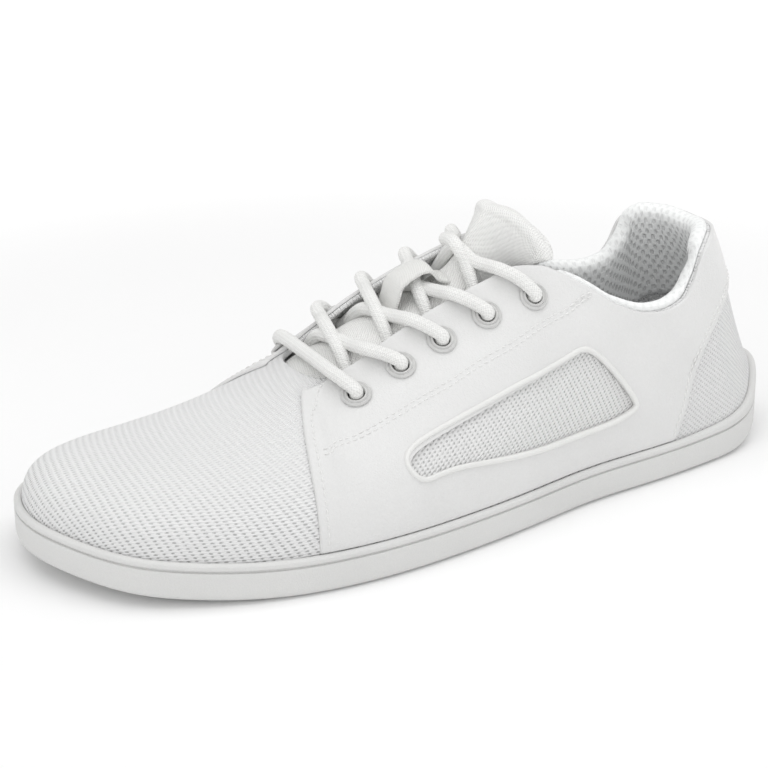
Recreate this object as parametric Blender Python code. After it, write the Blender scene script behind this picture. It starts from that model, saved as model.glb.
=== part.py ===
"""Barefoot lace-up shoe, left foot.

Metres, +Z up. The toe points to -Y, the heel to +Y, the outer (lateral) side to +X.
The origin is on the ground under the middle of the shoe's box.

Every shape follows two functions: the closed outline of the sole, and the ribs of the upper,
which stand on that outline and rise to the topline, the throat or the ridge of the vamp.
A place on the upper is given by an angle round the outline (0 at the heel, pi at the toe,
lateral side first) and a share of the rib from the sole's bead (0) to its top (1).
"""
import math

import bmesh
import bpy
import numpy as np
from mathutils import Vector
from mathutils.bvhtree import BVHTree

# Driving dimensions of the whole shoe
LENGTH = 0.285
BALL_WIDTH = 0.104
HEEL_WIDTH = 0.072
TOE_SPRING = 0.0065
HEEL_LIFT = 0.0065
ARCH_RISE = 0.002
SIDE_HEIGHT = 0.0107
HEEL_SIDE_RISE = 0.0022
TOE_HEIGHT = 0.0372
VAMP_HEIGHT = 0.0535
INSTEP_HEIGHT = 0.080
ANKLE_HEIGHT = 0.0595
HEEL_HEIGHT = 0.0805
TONGUE_HEIGHT = 0.1005
COLLAR_WIDTH = 0.057
THROAT_GAP = 0.026

# Sole
BEAD_HEIGHT = 0.0025
BEAD_WIDTH = 0.0028
HEEL_BEAD_RISE = 0.0029
GROOVE_HEIGHT = 0.0010
GROOVE_DEPTH = 0.0009
FLOOR = 0.0040
MIDSOLE = 0.0020
INSOLE = 0.0030
HEEL_CUP = 0.0020
FLEX_WIDTH = 0.0024
FLEX_DEPTH = 0.0012
FLEX_MARGIN = 0.0095

# Upper and what lies on it
WALL = 0.0016
LEATHER = 0.0012
OVERLAY_GAP = 0.00065
GAP = 0.0003
FIT = 0.0005
EDGE_BACK = 0.0012
PIPING = 0.0018
PIPING_RISE = 0.0009
WINDOW_LAND = 0.0004
PAD_DEPTH = 0.034
PAD_ROLL = 0.0030
PAD_THICK = 0.0055
PAD_THIN = 0.0022
TONGUE_THICK = 0.0045

# Lacing
EYELETS = 5
EYELET_OUTER = 0.0102
EYELET_HOLE = 0.0056
EYELET_TUBE = 0.0006
EYELET_FLANGE = 0.0011
EYELET_SIDES = 8
LACE = 0.0045
STRAND_IN = 0.30
# Height of a crossing's two strands above the tongue, in lace diameters
LOW_STRAND = 0.5
HIGH_STRAND = 1.1
KEEPER_WIDTH = 0.012
KEEPER_THICK = 0.0009
BAR_FOOT = 0.676

# Outline: share of the length from the heel, lateral and medial half as shares of local width
OUTLINE = (
    (0.030, 0.250, 0.275),
    (0.080, 0.430, 0.430),
    (0.150, 0.507, 0.493),
    (0.250, 0.520, 0.450),
    (0.350, 0.485, 0.374),
    (0.450, 0.490, 0.345),
    (0.550, 0.512, 0.368),
    (0.650, 0.534, 0.434),
    (0.720, 0.525, 0.473),
    (0.800, 0.483, 0.499),
    (0.880, 0.396, 0.487),
    (0.940, 0.281, 0.425),
    (0.980, 0.106, 0.308),
)
TOE_TIP = -0.100
# Puts the middle of the box on x = 0
CENTRE_SHIFT = -0.0175
HEEL_SPAN = (0.15, 0.55)

# Centre line of the instep: share of the length, x as a share of BALL_WIDTH
AXIS = ((0.0, 0.0), (0.20, 0.0), (0.40, -0.02), (0.67, -0.055), (0.86, -0.10), (1.0, -0.11))

# Ridge of the vamp, as shares of the length, and the feet of its first and last own ribs
RIDGE_START_SHARE = 0.668
RIDGE_END_SHARE = 0.860
THROAT_FOOT = 0.720
FAN_FOOT = 0.965

# Top edge of the upper: foot, top (shares of the length), half width and its size,
# height and its size, extra height of the medial side (share of INSTEP_HEIGHT),
# pitch of the surface at the edge (degrees below level)
TOP_EDGE = (
    (0.000, 0.095, 0.00, 'collar', 1.000, 'heel', 0.000, 64),
    (0.030, 0.103, 0.193, 'collar', 1.010, 'heel', 0.000, 66),
    (0.065, 0.125, 0.342, 'collar', 1.005, 'heel', 0.000, 72),
    (0.100, 0.148, 0.421, 'collar', 0.950, 'heel', 0.000, 76),
    (0.130, 0.163, 0.439, 'collar', 0.840, 'heel', 0.000, 78),
    (0.155, 0.180, 0.460, 'collar', 1.034, 'ankle', 0.006, 78),
    (0.190, 0.210, 0.482, 'collar', 1.000, 'ankle', 0.012, 78),
    (0.230, 0.240, 0.500, 'collar', 1.017, 'ankle', 0.012, 77),
    (0.280, 0.280, 0.474, 'collar', 0.812, 'instep', 0.012, 73),
    (0.320, 0.310, 0.430, 'collar', 0.888, 'instep', 0.012, 66),
    (0.360, 0.340, 0.342, 'collar', 0.956, 'instep', 0.018, 57),
    (0.390, 0.365, 0.600, 'throat', 0.994, 'instep', 0.035, 50),
    (0.420, 0.395, 0.512, 'throat', 1.000, 'instep', 0.050, 46),
    (0.460, 0.430, 0.496, 'throat', 0.963, 'instep', 0.062, 44),
    (0.520, 0.495, 0.508, 'throat', 0.888, 'instep', 0.062, 42),
    (0.590, 0.560, 0.550, 'throat', 0.795, 'instep', 0.050, 38),
    (0.650, 0.615, 0.575, 'throat', 1.045, 'vamp', 0.032, 31),
    (0.690, 0.650, 0.480, 'throat', 0.980, 'vamp', 0.012, 23),
    (0.710, 0.664, 0.280, 'throat', 0.992, 'vamp', 0.003, 12),
    (0.720, 0.668, 0.000, 'throat', 1.000, 'vamp', 0.000, 0),
)
HALF_SIZES = {'collar': COLLAR_WIDTH, 'throat': THROAT_GAP}
HEIGHT_SIZES = {
    'heel': HEEL_HEIGHT,
    'ankle': ANKLE_HEIGHT,
    'instep': INSTEP_HEIGHT,
    'vamp': VAMP_HEIGHT,
}

# Sides of the upper: foot, lean at the bead (degrees outward), lengths of the rib's handles
# at the foot and at the top, lateral then medial, as shares of its span
SIDES = (
    (0.00, -21, 0.33, 0.30, 0.33, 0.30),
    (0.06, -16, 0.33, 0.30, 0.33, 0.30),
    (0.12, -6, 0.35, 0.30, 0.35, 0.30),
    (0.20, 2, 0.36, 0.30, 0.36, 0.30),
    (0.35, 4, 0.36, 0.32, 0.36, 0.32),
    (0.50, 6, 0.34, 0.34, 0.34, 0.34),
    (0.65, 7, 0.34, 0.32, 0.32, 0.32),
    (0.80, 6, 0.38, 0.30, 0.32, 0.22),
    (0.92, 4, 0.44, 0.30, 0.36, 0.20),
    (1.00, 4, 0.42, 0.28, 0.42, 0.28),
)

# Leather quarter: share of the rib, foot of its front edge
QUARTER_FRONT = (
    (0.00, 0.739),
    (0.33, 0.738),
    (0.53, 0.734),
    (0.68, 0.727),
    (0.76, 0.722),
    (0.86, 0.712),
    (0.93, 0.702),
    (1.00, 0.688),
)

# Heel seam, the quarter's lower edge at the back: foot, share of the rib
HEEL_SEAM = (
    (0.000, 0.680),
    (0.030, 0.640),
    (0.100, 0.580),
    (0.139, 0.530),
    (0.161, 0.450),
    (0.178, 0.330),
    (0.191, 0.200),
    (0.201, 0.100),
    (0.210, 0.015),
)

# Side window: share of the length from the heel, height as a share of INSTEP_HEIGHT
WINDOW = (
    (0.610, 0.440),
    (0.575, 0.490),
    (0.500, 0.551),
    (0.442, 0.598),
    (0.377, 0.645),
    (0.345, 0.667),
    (0.322, 0.625),
    (0.293, 0.500),
    (0.275, 0.400),
    (0.282, 0.362),
    (0.320, 0.336),
    (0.380, 0.331),
    (0.430, 0.332),
    (0.500, 0.350),
    (0.560, 0.364),
    (0.597, 0.354),
    (0.612, 0.390),
)

# Eyelets: foot of the rib that each stands on, distance below the edge
EYELET_FEET = (0.657, 0.594, 0.534, 0.476, 0.410)
EYELET_SETBACK = 0.0122
EYELET_TOP = OVERLAY_GAP + LEATHER + FIT + EYELET_FLANGE + FIT

# Tongue rows: centre as share of the length, height share of TONGUE_HEIGHT, half width,
# how far the sides run back and down, how much higher the medial side is, the last four as
# shares of THROAT_GAP
TONGUE = (
    (0.705, 0.466, 0.62, 0.00, 0.16, 0.00),
    (0.670, 0.503, 0.70, 0.00, 0.26, 0.00),
    (0.640, 0.545, 0.76, 0.00, 0.34, 0.00),
    (0.600, 0.597, 0.80, 0.00, 0.42, 0.00),
    (0.560, 0.644, 0.80, 0.00, 0.44, 0.00),
    (0.520, 0.690, 0.78, 0.02, 0.50, 0.00),
    (0.487, 0.735, 0.70, 0.08, 0.54, 0.00),
    (0.462, 0.768, 0.58, 0.20, 0.54, 0.00),
    (0.447, 0.815, 0.44, 0.34, 0.48, 0.02),
    (0.432, 0.872, 0.41, 0.42, 0.40, 0.05),
    (0.418, 0.930, 0.50, 0.46, 0.30, 0.08),
    (0.408, 0.972, 0.67, 0.54, 0.31, 0.10),
    (0.401, 1.000, 0.69, 0.52, 0.38, 0.10),
)

# Feet of the ribs that the meshes follow on each side, between the heel and the toe
FEET = (
    0.004, 0.018, 0.042, 0.072, 0.105, 0.140, 0.180, 0.225, 0.270, 0.315, 0.360, 0.405, 0.455,
    0.510, 0.565, 0.615, 0.655, 0.685, 0.706, 0.720, 0.755, 0.795, 0.835, 0.872, 0.905, 0.938,
    0.965, 0.988,
)
RIB_STEPS = (0.0, 0.13, 0.27, 0.41, 0.55, 0.69, 0.82, 0.92, 1.0)


def smooth(a, b, x):
    """Rise from 0 to 1 between a and b."""
    t = np.clip((np.asarray(x, float) - a) / (b - a), 0.0, 1.0)
    return t * t * (3.0 - 2.0 * t)


def angle_of(share):
    """Angle round the outline for a share of the length from the heel."""
    return np.arccos(1.0 - 2.0 * np.asarray(share, float))


def share_of(angle):
    """Share of the length from the heel for an angle round the outline."""
    return (1.0 - np.cos(angle)) / 2.0


class Loop:
    """Closed cubic through values at knots round the outline."""

    def __init__(self, knots, values):
        self.knots = np.asarray(knots, float)
        self.values = np.asarray(values, float)
        self.steps = np.diff(np.append(self.knots, self.knots[0] + 2.0 * math.pi))
        count = len(self.knots)
        matrix = np.zeros((count, count))
        right = np.zeros(count)
        for i in range(count):
            before, after = self.steps[i - 1], self.steps[i]
            following = (i + 1) % count
            matrix[i, i - 1] += before
            matrix[i, i] += 2.0 * (before + after)
            matrix[i, following] += after
            rise = (self.values[following] - self.values[i]) / after
            fall = (self.values[i] - self.values[i - 1]) / before
            right[i] = 6.0 * (rise - fall)
        self.bends = np.linalg.solve(matrix, right)

    def __call__(self, angle):
        turn = 2.0 * math.pi
        x = (np.asarray(angle, float) - self.knots[0]) % turn + self.knots[0]
        i = np.clip(np.searchsorted(self.knots, x, side='right') - 1, 0, len(self.knots) - 1)
        j = (i + 1) % len(self.knots)
        h = self.steps[i]
        a = x - self.knots[i]
        b = h - a
        curve = (self.bends[i] * b**3 + self.bends[j] * a**3) / (6.0 * h)
        line_b = (self.values[i] / h - self.bends[i] * h / 6.0) * b
        line_a = (self.values[j] / h - self.bends[j] * h / 6.0) * a
        return curve + line_b + line_a


class Rows:
    """Shape-keeping cubic through the named columns of a table."""

    def __init__(self, keys, columns, level_ends=()):
        self.keys = np.asarray(keys, float)
        self.columns = {}
        for name, values in columns.items():
            values = np.asarray(values, float)
            self.columns[name] = (values, self.slopes(values, name in level_ends))

    def slopes(self, values, level):
        steps = np.diff(self.keys)
        rates = np.diff(values) / steps
        slopes = np.zeros(len(values))
        for i in range(1, len(values) - 1):
            if rates[i - 1] * rates[i] > 0:
                a = 2.0 * steps[i] + steps[i - 1]
                b = steps[i] + 2.0 * steps[i - 1]
                slopes[i] = (a + b) / (a / rates[i - 1] + b / rates[i])
        slopes[0] = 0.0 if level else rates[0]
        slopes[-1] = 0.0 if level else rates[-1]
        return slopes

    def at(self, key, name):
        values, slopes = self.columns[name]
        k = np.clip(np.asarray(key, float), self.keys[0], self.keys[-1])
        i = np.clip(np.searchsorted(self.keys, k, side='right') - 1, 0, len(self.keys) - 2)
        h = self.keys[i + 1] - self.keys[i]
        u = (k - self.keys[i]) / h
        ends = values[i] * (2 * u**3 - 3 * u**2 + 1) + values[i + 1] * (3 * u**2 - 2 * u**3)
        bends = slopes[i] * (u**3 - 2 * u**2 + u) + slopes[i + 1] * (u**3 - u**2)
        return ends + h * bends


def local_width(share):
    """Width that the outline's shares refer to, from heel to ball."""
    return HEEL_WIDTH + (BALL_WIDTH - HEEL_WIDTH) * smooth(*HEEL_SPAN, share)


def outline_loop():
    """Closed curve of x round the outline."""
    rows = np.array(OUTLINE)
    angles = angle_of(rows[:, 0])
    width = local_width(rows[:, 0])
    knots = np.concatenate([[0.0], angles, [math.pi], 2.0 * math.pi - angles[::-1]])
    lateral = rows[:, 1] * width
    medial = -(rows[:, 2] * width)[::-1]
    values = np.concatenate([[0.0], lateral, [TOE_TIP * BALL_WIDTH], medial])
    return Loop(knots, values + CENTRE_SHIFT * BALL_WIDTH)


def top_rows():
    """Top edge of the upper in metres and degrees."""
    keys = angle_of([row[0] for row in TOP_EDGE])
    columns = {
        'top': [row[1] for row in TOP_EDGE],
        'half': [row[2] * HALF_SIZES[row[3]] for row in TOP_EDGE],
        'height': [row[4] * HEIGHT_SIZES[row[5]] for row in TOP_EDGE],
        'rise': [row[6] * INSTEP_HEIGHT for row in TOP_EDGE],
        'pitch': [row[7] for row in TOP_EDGE],
    }
    return Rows(keys, columns, ('top', 'height', 'rise', 'pitch'))


def side_rows():
    """Lean and handles of the ribs."""
    table = np.array(SIDES)
    names = ('lean', 'foot', 'head', 'medial_foot', 'medial_head')
    columns = {name: table[:, i + 1] for i, name in enumerate(names)}
    return Rows(angle_of(table[:, 0]), columns, names)


X_LOOP = outline_loop()
TOP = top_rows()
SIDE = side_rows()


def outline(angle, inset=0.0):
    """Plan points on the outline, inset along its normals, and the normals."""
    angle = np.atleast_1d(np.asarray(angle, float))
    step = 1e-4

    def place(a):
        return np.stack([X_LOOP(a), LENGTH * (0.5 - share_of(a))], -1)

    run = place(angle + step) - place(angle - step)
    normal = np.stack([-run[:, 1], run[:, 0]], -1)
    normal /= np.linalg.norm(normal, axis=-1, keepdims=True)
    return place(angle) - normal * np.reshape(inset, (-1, 1)), normal


def ground(share):
    """Height of the sole's underside, flat between the heel's lift and the toe's spring."""
    share = np.asarray(share, float)
    toe = TOE_SPRING * np.clip((share - 0.72) / 0.28, 0, 1)**2
    heel = HEEL_LIFT * np.clip((0.14 - share) / 0.14, 0, 1)**2
    return toe + heel


def heel_part(share):
    """1 at the back of the heel, falling to 0 in front of it."""
    return np.clip((0.2 - np.asarray(share, float)) / 0.2, 0, 1)**1.5


def groove_level(share):
    return ground(share) + SIDE_HEIGHT + HEEL_SIDE_RISE * heel_part(share)


def bead_level(share):
    return groove_level(share) + BEAD_HEIGHT + HEEL_BEAD_RISE * heel_part(share)


def axis_x(share):
    table = np.array(AXIS)
    return BALL_WIDTH * (np.interp(share, table[:, 0], table[:, 1]) + CENTRE_SHIFT)


def ridge_height(share):
    """Height of the vamp's ridge, falling from the throat to the toe box."""
    u = (share - RIDGE_START_SHARE) / (RIDGE_END_SHARE - RIDGE_START_SHARE)
    return VAMP_HEIGHT + (TOE_HEIGHT - VAMP_HEIGHT) * (1.35 * u - 0.35 * u * u)


def instep_slope(share):
    """Rise of the instep toward the ankle, per unit of y, none behind the throat."""
    u = np.clip((share - RIDGE_START_SHARE) / (RIDGE_END_SHARE - RIDGE_START_SHARE), 0, 1)
    fall = (VAMP_HEIGHT - TOE_HEIGHT) * (1.35 - 0.70 * u) / (RIDGE_END_SHARE - RIDGE_START_SHARE)
    return fall / LENGTH * smooth(0.32, 0.42, share)


def ribs(angle, shares):
    """Points of the upper's outer surface, one rib per angle: (angles, shares, 3)."""
    angle = np.atleast_1d(np.asarray(angle, float)) % (2.0 * math.pi)
    shares = np.asarray(shares, float)
    lateral = angle <= math.pi
    side = np.where(lateral, 1.0, -1.0)
    half_turn = np.where(lateral, angle, 2.0 * math.pi - angle)
    share = share_of(half_turn)
    plan, normal = outline(angle, BEAD_WIDTH + GAP)
    foot = np.concatenate([plan, bead_level(share)[:, None]], 1)
    vamp = share >= THROAT_FOOT - 1e-9
    way = np.clip((share - THROAT_FOOT) / (FAN_FOOT - THROAT_FOOT), 0, 1)
    ridge = RIDGE_START_SHARE + (RIDGE_END_SHARE - RIDGE_START_SHARE) * (1.0 - (1.0 - way)**1.5)
    top = np.where(vamp, ridge, TOP.at(half_turn, 'top'))
    half = np.where(vamp, 0.0, TOP.at(half_turn, 'half'))
    edge = TOP.at(half_turn, 'height') + np.where(lateral, 0.0, TOP.at(half_turn, 'rise'))
    height = np.where(vamp, ridge_height(top), edge)
    head = np.stack([axis_x(top) + side * half, LENGTH * (0.5 - top), height], 1)
    span = np.linalg.norm(head - foot, axis=1)
    out = foot[:, :2] - head[:, :2] + 0.07 * LENGTH * normal
    out /= np.linalg.norm(out, axis=1, keepdims=True)
    pitch = np.radians(np.where(vamp, 0.0, TOP.at(half_turn, 'pitch')))
    fall = -np.sin(pitch) + instep_slope(top) * out[:, 1]
    head_way = np.concatenate([out * np.cos(pitch)[:, None], fall[:, None]], 1)
    head_way /= np.linalg.norm(head_way, axis=1, keepdims=True)
    lean = np.radians(SIDE.at(half_turn, 'lean'))
    foot_way = np.concatenate([normal * np.sin(lean)[:, None], np.cos(lean)[:, None]], 1)
    foot_arm = np.where(lateral, SIDE.at(half_turn, 'foot'), SIDE.at(half_turn, 'medial_foot'))
    head_arm = np.where(lateral, SIDE.at(half_turn, 'head'), SIDE.at(half_turn, 'medial_head'))
    near_foot = foot + foot_way * (foot_arm * span)[:, None]
    near_head = head + head_way * (head_arm * span)[:, None]
    u = shares[..., None] if shares.ndim > 1 else shares[None, :, None]
    return (
        (1 - u)**3 * foot[:, None]
        + 3 * (1 - u)**2 * u * near_foot[:, None]
        + 3 * (1 - u) * u**2 * near_head[:, None]
        + u**3 * head[:, None]
    )


def surface(angle, share, lift=0.0):
    """One point of the upper's surface moved out along its normal, and that normal."""
    step = 0.004
    low, high = max(share - step, 0.0), min(share + step, 1.0)
    own = ribs([angle], [low, share, high])[0]
    turn = 0.004
    beside = ribs([angle - turn, angle + turn], [share])[:, 0]
    normal = np.cross(own[2] - own[0], beside[1] - beside[0])
    normal /= np.linalg.norm(normal)
    return own[1] + normal * lift, normal


def rib_share_below(angle, distance):
    """Share of a rib at a distance below its top edge."""
    steps = np.linspace(1.0, 0.3, 200)
    points = ribs([angle], steps)[0]
    run = np.concatenate([[0.0], np.cumsum(np.linalg.norm(np.diff(points, axis=0), axis=1))])
    return float(np.interp(distance, run, steps))


def side_angle(share, side):
    """Angle for a share of the length on the lateral (1) or medial (-1) side."""
    angle = float(angle_of(share))
    return angle if side > 0 else 2.0 * math.pi - angle


def station_angles():
    """Angles of all ribs that the meshes follow, heel first, lateral side first."""
    angles = [float(angle_of(share)) for share in FEET]
    back = [2.0 * math.pi - a for a in reversed(angles)]
    return np.array([0.0] + angles + [math.pi] + back)


STATIONS = station_angles()
COUNT = len(STATIONS)


def clear_scene():
    for item in list(bpy.data.objects):
        bpy.data.objects.remove(item, do_unlink=True)


def material(name, colour, roughness, metallic=0.0):
    """Principled material of one piece."""
    made = bpy.data.materials.new(name)
    made.use_nodes = True
    shader = made.node_tree.nodes['Principled BSDF']
    shader.inputs['Base Color'].default_value = (*colour, 1.0)
    shader.inputs['Roughness'].default_value = roughness
    shader.inputs['Metallic'].default_value = metallic
    return made


def make_object(name, mesh_builder, made_material=None):
    """Object from a bmesh, shaded smooth."""
    mesh = bpy.data.meshes.new(name)
    bmesh.ops.recalc_face_normals(mesh_builder, faces=mesh_builder.faces)
    mesh_builder.to_mesh(mesh)
    mesh_builder.free()
    mesh.shade_smooth()
    item = bpy.data.objects.new(name, mesh)
    bpy.context.scene.collection.objects.link(item)
    if made_material is not None:
        mesh.materials.append(made_material)
    return item


def hide(item):
    """Mark an object as a cutter or guide."""
    item.hide_render = True
    item.display_type = 'WIRE'
    return item


def cut(item, cutter, operation='DIFFERENCE'):
    """Boolean on an object that stays live."""
    change = item.modifiers.new(operation.lower(), 'BOOLEAN')
    change.operation = operation
    change.solver = 'EXACT'
    change.object = hide(cutter)


def add_loop(builder, points):
    return [builder.verts.new(point) for point in points]


def skin(builder, first, second, closed=True):
    """Quads between two loops of equal length."""
    count = len(first)
    for i in range(count if closed else count - 1):
        j = (i + 1) % count
        corners = [first[i], first[j], second[j], second[i]]
        unique = list(dict.fromkeys(corners))
        if len(unique) > 2:
            builder.faces.new(unique)


def close_across(builder, loop, shape=None, divisions=1):
    """Fill a loop that runs heel, lateral side, toe, medial side with rungs across it.

    shape(lateral, medial, part) gives the points inside each rung.
    """
    half = (len(loop) - 2) // 2
    rungs = [[loop[0]]]
    for i in range(1, half + 1):
        lateral, medial = loop[i], loop[-i]
        rung = [lateral]
        for k in range(1, divisions):
            rung.append(builder.verts.new(shape(lateral.co, medial.co, k / divisions)))
        rungs.append(rung + [medial])
    rungs.append([loop[half + 1]])
    for near, far in zip(rungs, rungs[1:]):
        if len(near) == 1:
            for k in range(len(far) - 1):
                builder.faces.new([near[0], far[k], far[k + 1]])
        elif len(far) == 1:
            for k in range(len(near) - 1):
                builder.faces.new([near[k], far[0], near[k + 1]])
        else:
            for k in range(len(near) - 1):
                builder.faces.new([near[k], far[k], far[k + 1], near[k + 1]])


def level_loop(inset, height, own=False):
    """Loop round the shoe at an inset from the outline; height is a function of the share.

    own takes the share at the inset point itself, as the level surfaces inside the cup need.
    """
    plan, _ = outline(STATIONS, inset)
    share = 0.5 - plan[:, 1] / LENGTH if own else share_of(STATIONS)
    return np.concatenate([plan, np.reshape(height(share), (-1, 1))], 1)


def arch_rise(share):
    """Lift of the medial waist."""
    return ARCH_RISE * smooth(0.26, 0.40, share) * (1.0 - smooth(0.50, 0.64, share))


def outsole_profile():
    """Inset from the outline and height, from the tread round the side into the cup."""
    rise = GROOVE_HEIGHT / 2.0

    def side(part, base=groove_level, extra=0.0):
        return lambda s: ground(s) + part * (base(s) - ground(s)) + extra

    return (
        (0.0040, side(0.0)),
        (0.0018, side(0.02)),
        (0.0007, side(0.10)),
        (0.0002, side(0.35)),
        (0.0, side(1.0, extra=-rise)),
        (GROOVE_DEPTH, side(1.0, extra=-0.6 * rise)),
        (GROOVE_DEPTH, side(1.0, extra=0.6 * rise)),
        (0.0, side(1.0, extra=rise)),
        (0.0001, side(1.0, bead_level, -0.45 * BEAD_HEIGHT)),
        (0.22 * BEAD_WIDTH, side(1.0, bead_level, -0.12 * BEAD_HEIGHT)),
        (0.55 * BEAD_WIDTH, side(1.0, bead_level, 0.02 * BEAD_HEIGHT)),
        (0.88 * BEAD_WIDTH, side(1.0, bead_level, -0.10 * BEAD_HEIGHT)),
        (BEAD_WIDTH, side(1.0, bead_level, -0.35 * BEAD_HEIGHT)),
        (BEAD_WIDTH, lambda s: ground(s) + FLOOR),
    )


def tread_point(lateral, medial, part):
    """Point of the tread between two points of its edge."""
    x = lateral[0] + (medial[0] - lateral[0]) * part
    share = 0.5 - lateral[1] / LENGTH
    level = float(ground(share)) + float(arch_rise(share)) * float(smooth(0.45, 0.90, part))
    return Vector((x, lateral[1], level))


def build_outsole():
    """Cup sole: tread, side wall with its groove, bead, and the floor inside."""
    builder = bmesh.new()
    loops = []
    profile = outsole_profile()
    for inset, height in profile:
        inside = not loops or len(loops) == len(profile) - 1
        points = level_loop(inset, height, inside)
        if not loops:
            points[:, 2] += arch_rise(share_of(STATIONS)) * (STATIONS > math.pi)
        loops.append(add_loop(builder, points))
    for first, second in zip(loops, loops[1:]):
        skin(builder, first, second)
    close_across(builder, loops[0], tread_point, 4)
    close_across(builder, loops[-1])
    colour = material('outsole_rubber', (0.80, 0.80, 0.79), 0.62)
    item = make_object('outsole', builder, colour)
    cut(item, build_flex_grooves())
    return item


FLEX_PLACES = (0.13, 0.20, 0.53, 0.59, 0.65, 0.71, 0.77, 0.83)


def build_flex_grooves():
    """Curved bars that cut the tread's transverse grooves."""
    builder = bmesh.new()
    parts = np.linspace(0.0, 1.0, 6)
    for place in FLEX_PLACES:
        lateral = outline([side_angle(place, 1)], FLEX_MARGIN)[0][0]
        medial = outline([side_angle(place, -1)], FLEX_MARGIN)[0][0]
        bow = 0.035 * LENGTH * (-1.0 if place > 0.5 else 1.0)
        rings = []
        for part in parts:
            x = lateral[0] + (medial[0] - lateral[0]) * part
            y = lateral[1] + bow * (4.0 * part * (1.0 - part))
            share = 0.5 - y / LENGTH
            roof = float(ground(share)) + FLEX_DEPTH + float(arch_rise(share))
            base = FLEX_WIDTH / 2.0
            rings.append(add_loop(builder, (
                (x, y - base, -0.004),
                (x, y + base, -0.004),
                (x, y + 0.6 * base, roof),
                (x, y - 0.6 * base, roof),
            )))
        for first, second in zip(rings, rings[1:]):
            skin(builder, first, second)
        builder.faces.new(rings[0])
        builder.faces.new(list(reversed(rings[-1])))
    return make_object('guide_flex_grooves', builder)


def build_board(name, inset, base, thick, colour, cup=0.0):
    """Board inside the cup; its rim can rise round the heel."""
    builder = bmesh.new()
    low = add_loop(builder, level_loop(inset, lambda s: ground(s) + base, True))
    high = add_loop(builder, level_loop(
        inset, lambda s: ground(s) + base + thick + cup * heel_part(s), True))
    inner = add_loop(builder, level_loop(
        inset + 2.0 * thick, lambda s: ground(s) + base + thick, True))
    skin(builder, low, high)
    skin(builder, high, inner)
    close_across(builder, low)
    close_across(builder, inner)
    return make_object(name, builder, colour)


def shell_points(angles, shares, lift):
    """Grid of surface points moved out along the surface's own normals."""
    points = ribs(angles, shares)
    step = 0.004
    ahead = ribs(angles + step, shares) - ribs(angles - step, shares)
    along = ribs(angles, np.clip(shares + step, 0, 1)) - ribs(angles, np.clip(shares - step, 0, 1))
    normal = np.cross(along, ahead)
    normal /= np.maximum(np.linalg.norm(normal, axis=-1, keepdims=True), 1e-12)
    return points + normal * lift


def build_upper(eyelet_cutter):
    """Hollow mesh upper: open at the collar, at the throat and underneath."""
    builder = bmesh.new()
    tuck = level_loop(BEAD_WIDTH + GAP, lambda s: ground(s) + FLOOR + MIDSOLE + 2.0 * GAP, True)
    rows = [add_loop(builder, tuck)]
    points = ribs(STATIONS, np.array(RIB_STEPS))
    for k in range(len(RIB_STEPS) - 1):
        rows.append(add_loop(builder, points[:, k]))
    half = (COUNT - 2) // 2
    tops = [None] * COUNT
    apex = None
    for i in range(COUNT):
        share = float(share_of(STATIONS[i]))
        on_ridge = share >= THROAT_FOOT - 1e-9
        if on_ridge and share >= FAN_FOOT - 1e-9:
            if apex is None:
                apex = builder.verts.new(points[i, -1])
            tops[i] = apex
        elif on_ridge and i > half + 1:
            tops[i] = tops[COUNT - i]
        else:
            tops[i] = builder.verts.new(points[i, -1])
    rows.append(tops)
    for first, second in zip(rows, rows[1:]):
        skin(builder, first, second)
    colour = material('upper_mesh', (0.86, 0.86, 0.86), 0.85)
    item = make_object('upper', builder, colour)
    shell = item.modifiers.new('wall', 'SOLIDIFY')
    shell.thickness = WALL
    shell.offset = -1.0
    shell.use_even_offset = False
    cut(item, eyelet_cutter)
    return item


SEAM_ANGLE = 0.014
PINCH_ANGLE = 0.006


def quarter_grid(side):
    """Angles and rib shares of the quarter's grid, each (columns, steps).

    The columns are the upper's own ribs and the corners of the heel seam; those past the
    front edge draw together behind it, PINCH_ANGLE apart, and the last one is the edge.
    """
    front_table = np.array(QUARTER_FRONT)
    seam_table = np.array(HEEL_SEAM)
    front = Rows(front_table[:, 0], {'angle': angle_of(front_table[:, 1])})
    seam = Rows(angle_of(seam_table[:, 0]), {'share': seam_table[:, 1]})
    last = float(front.at(0.0, 'angle'))
    feet = [foot for foot in FEET if foot < QUARTER_FRONT[0][1]]
    feet = sorted(feet + [row[0] for row in HEEL_SEAM[4:]])
    columns = np.concatenate([[SEAM_ANGLE], angle_of(feet), [last]])
    low = seam.at(columns, 'share')
    high = np.array([rib_share_below(angle, EDGE_BACK) for angle in columns])
    shares = low[:, None] + (high - low)[:, None] * np.array(RIB_STEPS)
    ahead = np.arange(len(columns))[::-1, None] * PINCH_ANGLE
    angles = np.minimum(columns[:, None], front.at(shares, 'angle') - ahead)
    return (angles if side > 0 else 2.0 * math.pi - angles), shares


def build_quarter(name, side, eyelet_cutter, colour):
    """Leather quarter with its eyestay, one side."""
    angles, shares = quarter_grid(side)
    builder = bmesh.new()
    rows = []
    for k in range(len(RIB_STEPS)):
        rows.append(add_loop(builder, [
            surface(a, float(u), OVERLAY_GAP)[0] for a, u in zip(angles[:, k], shares[:, k])]))
    for first, second in zip(rows, rows[1:]):
        skin(builder, first, second, closed=False)
    item = make_object(name, builder, colour)
    shell = item.modifiers.new('leather', 'SOLIDIFY')
    shell.thickness = LEATHER
    shell.offset = 1.0
    shell.use_even_offset = False
    cut(item, build_window_cutter(side))
    cut(item, eyelet_cutter)
    return item


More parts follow.
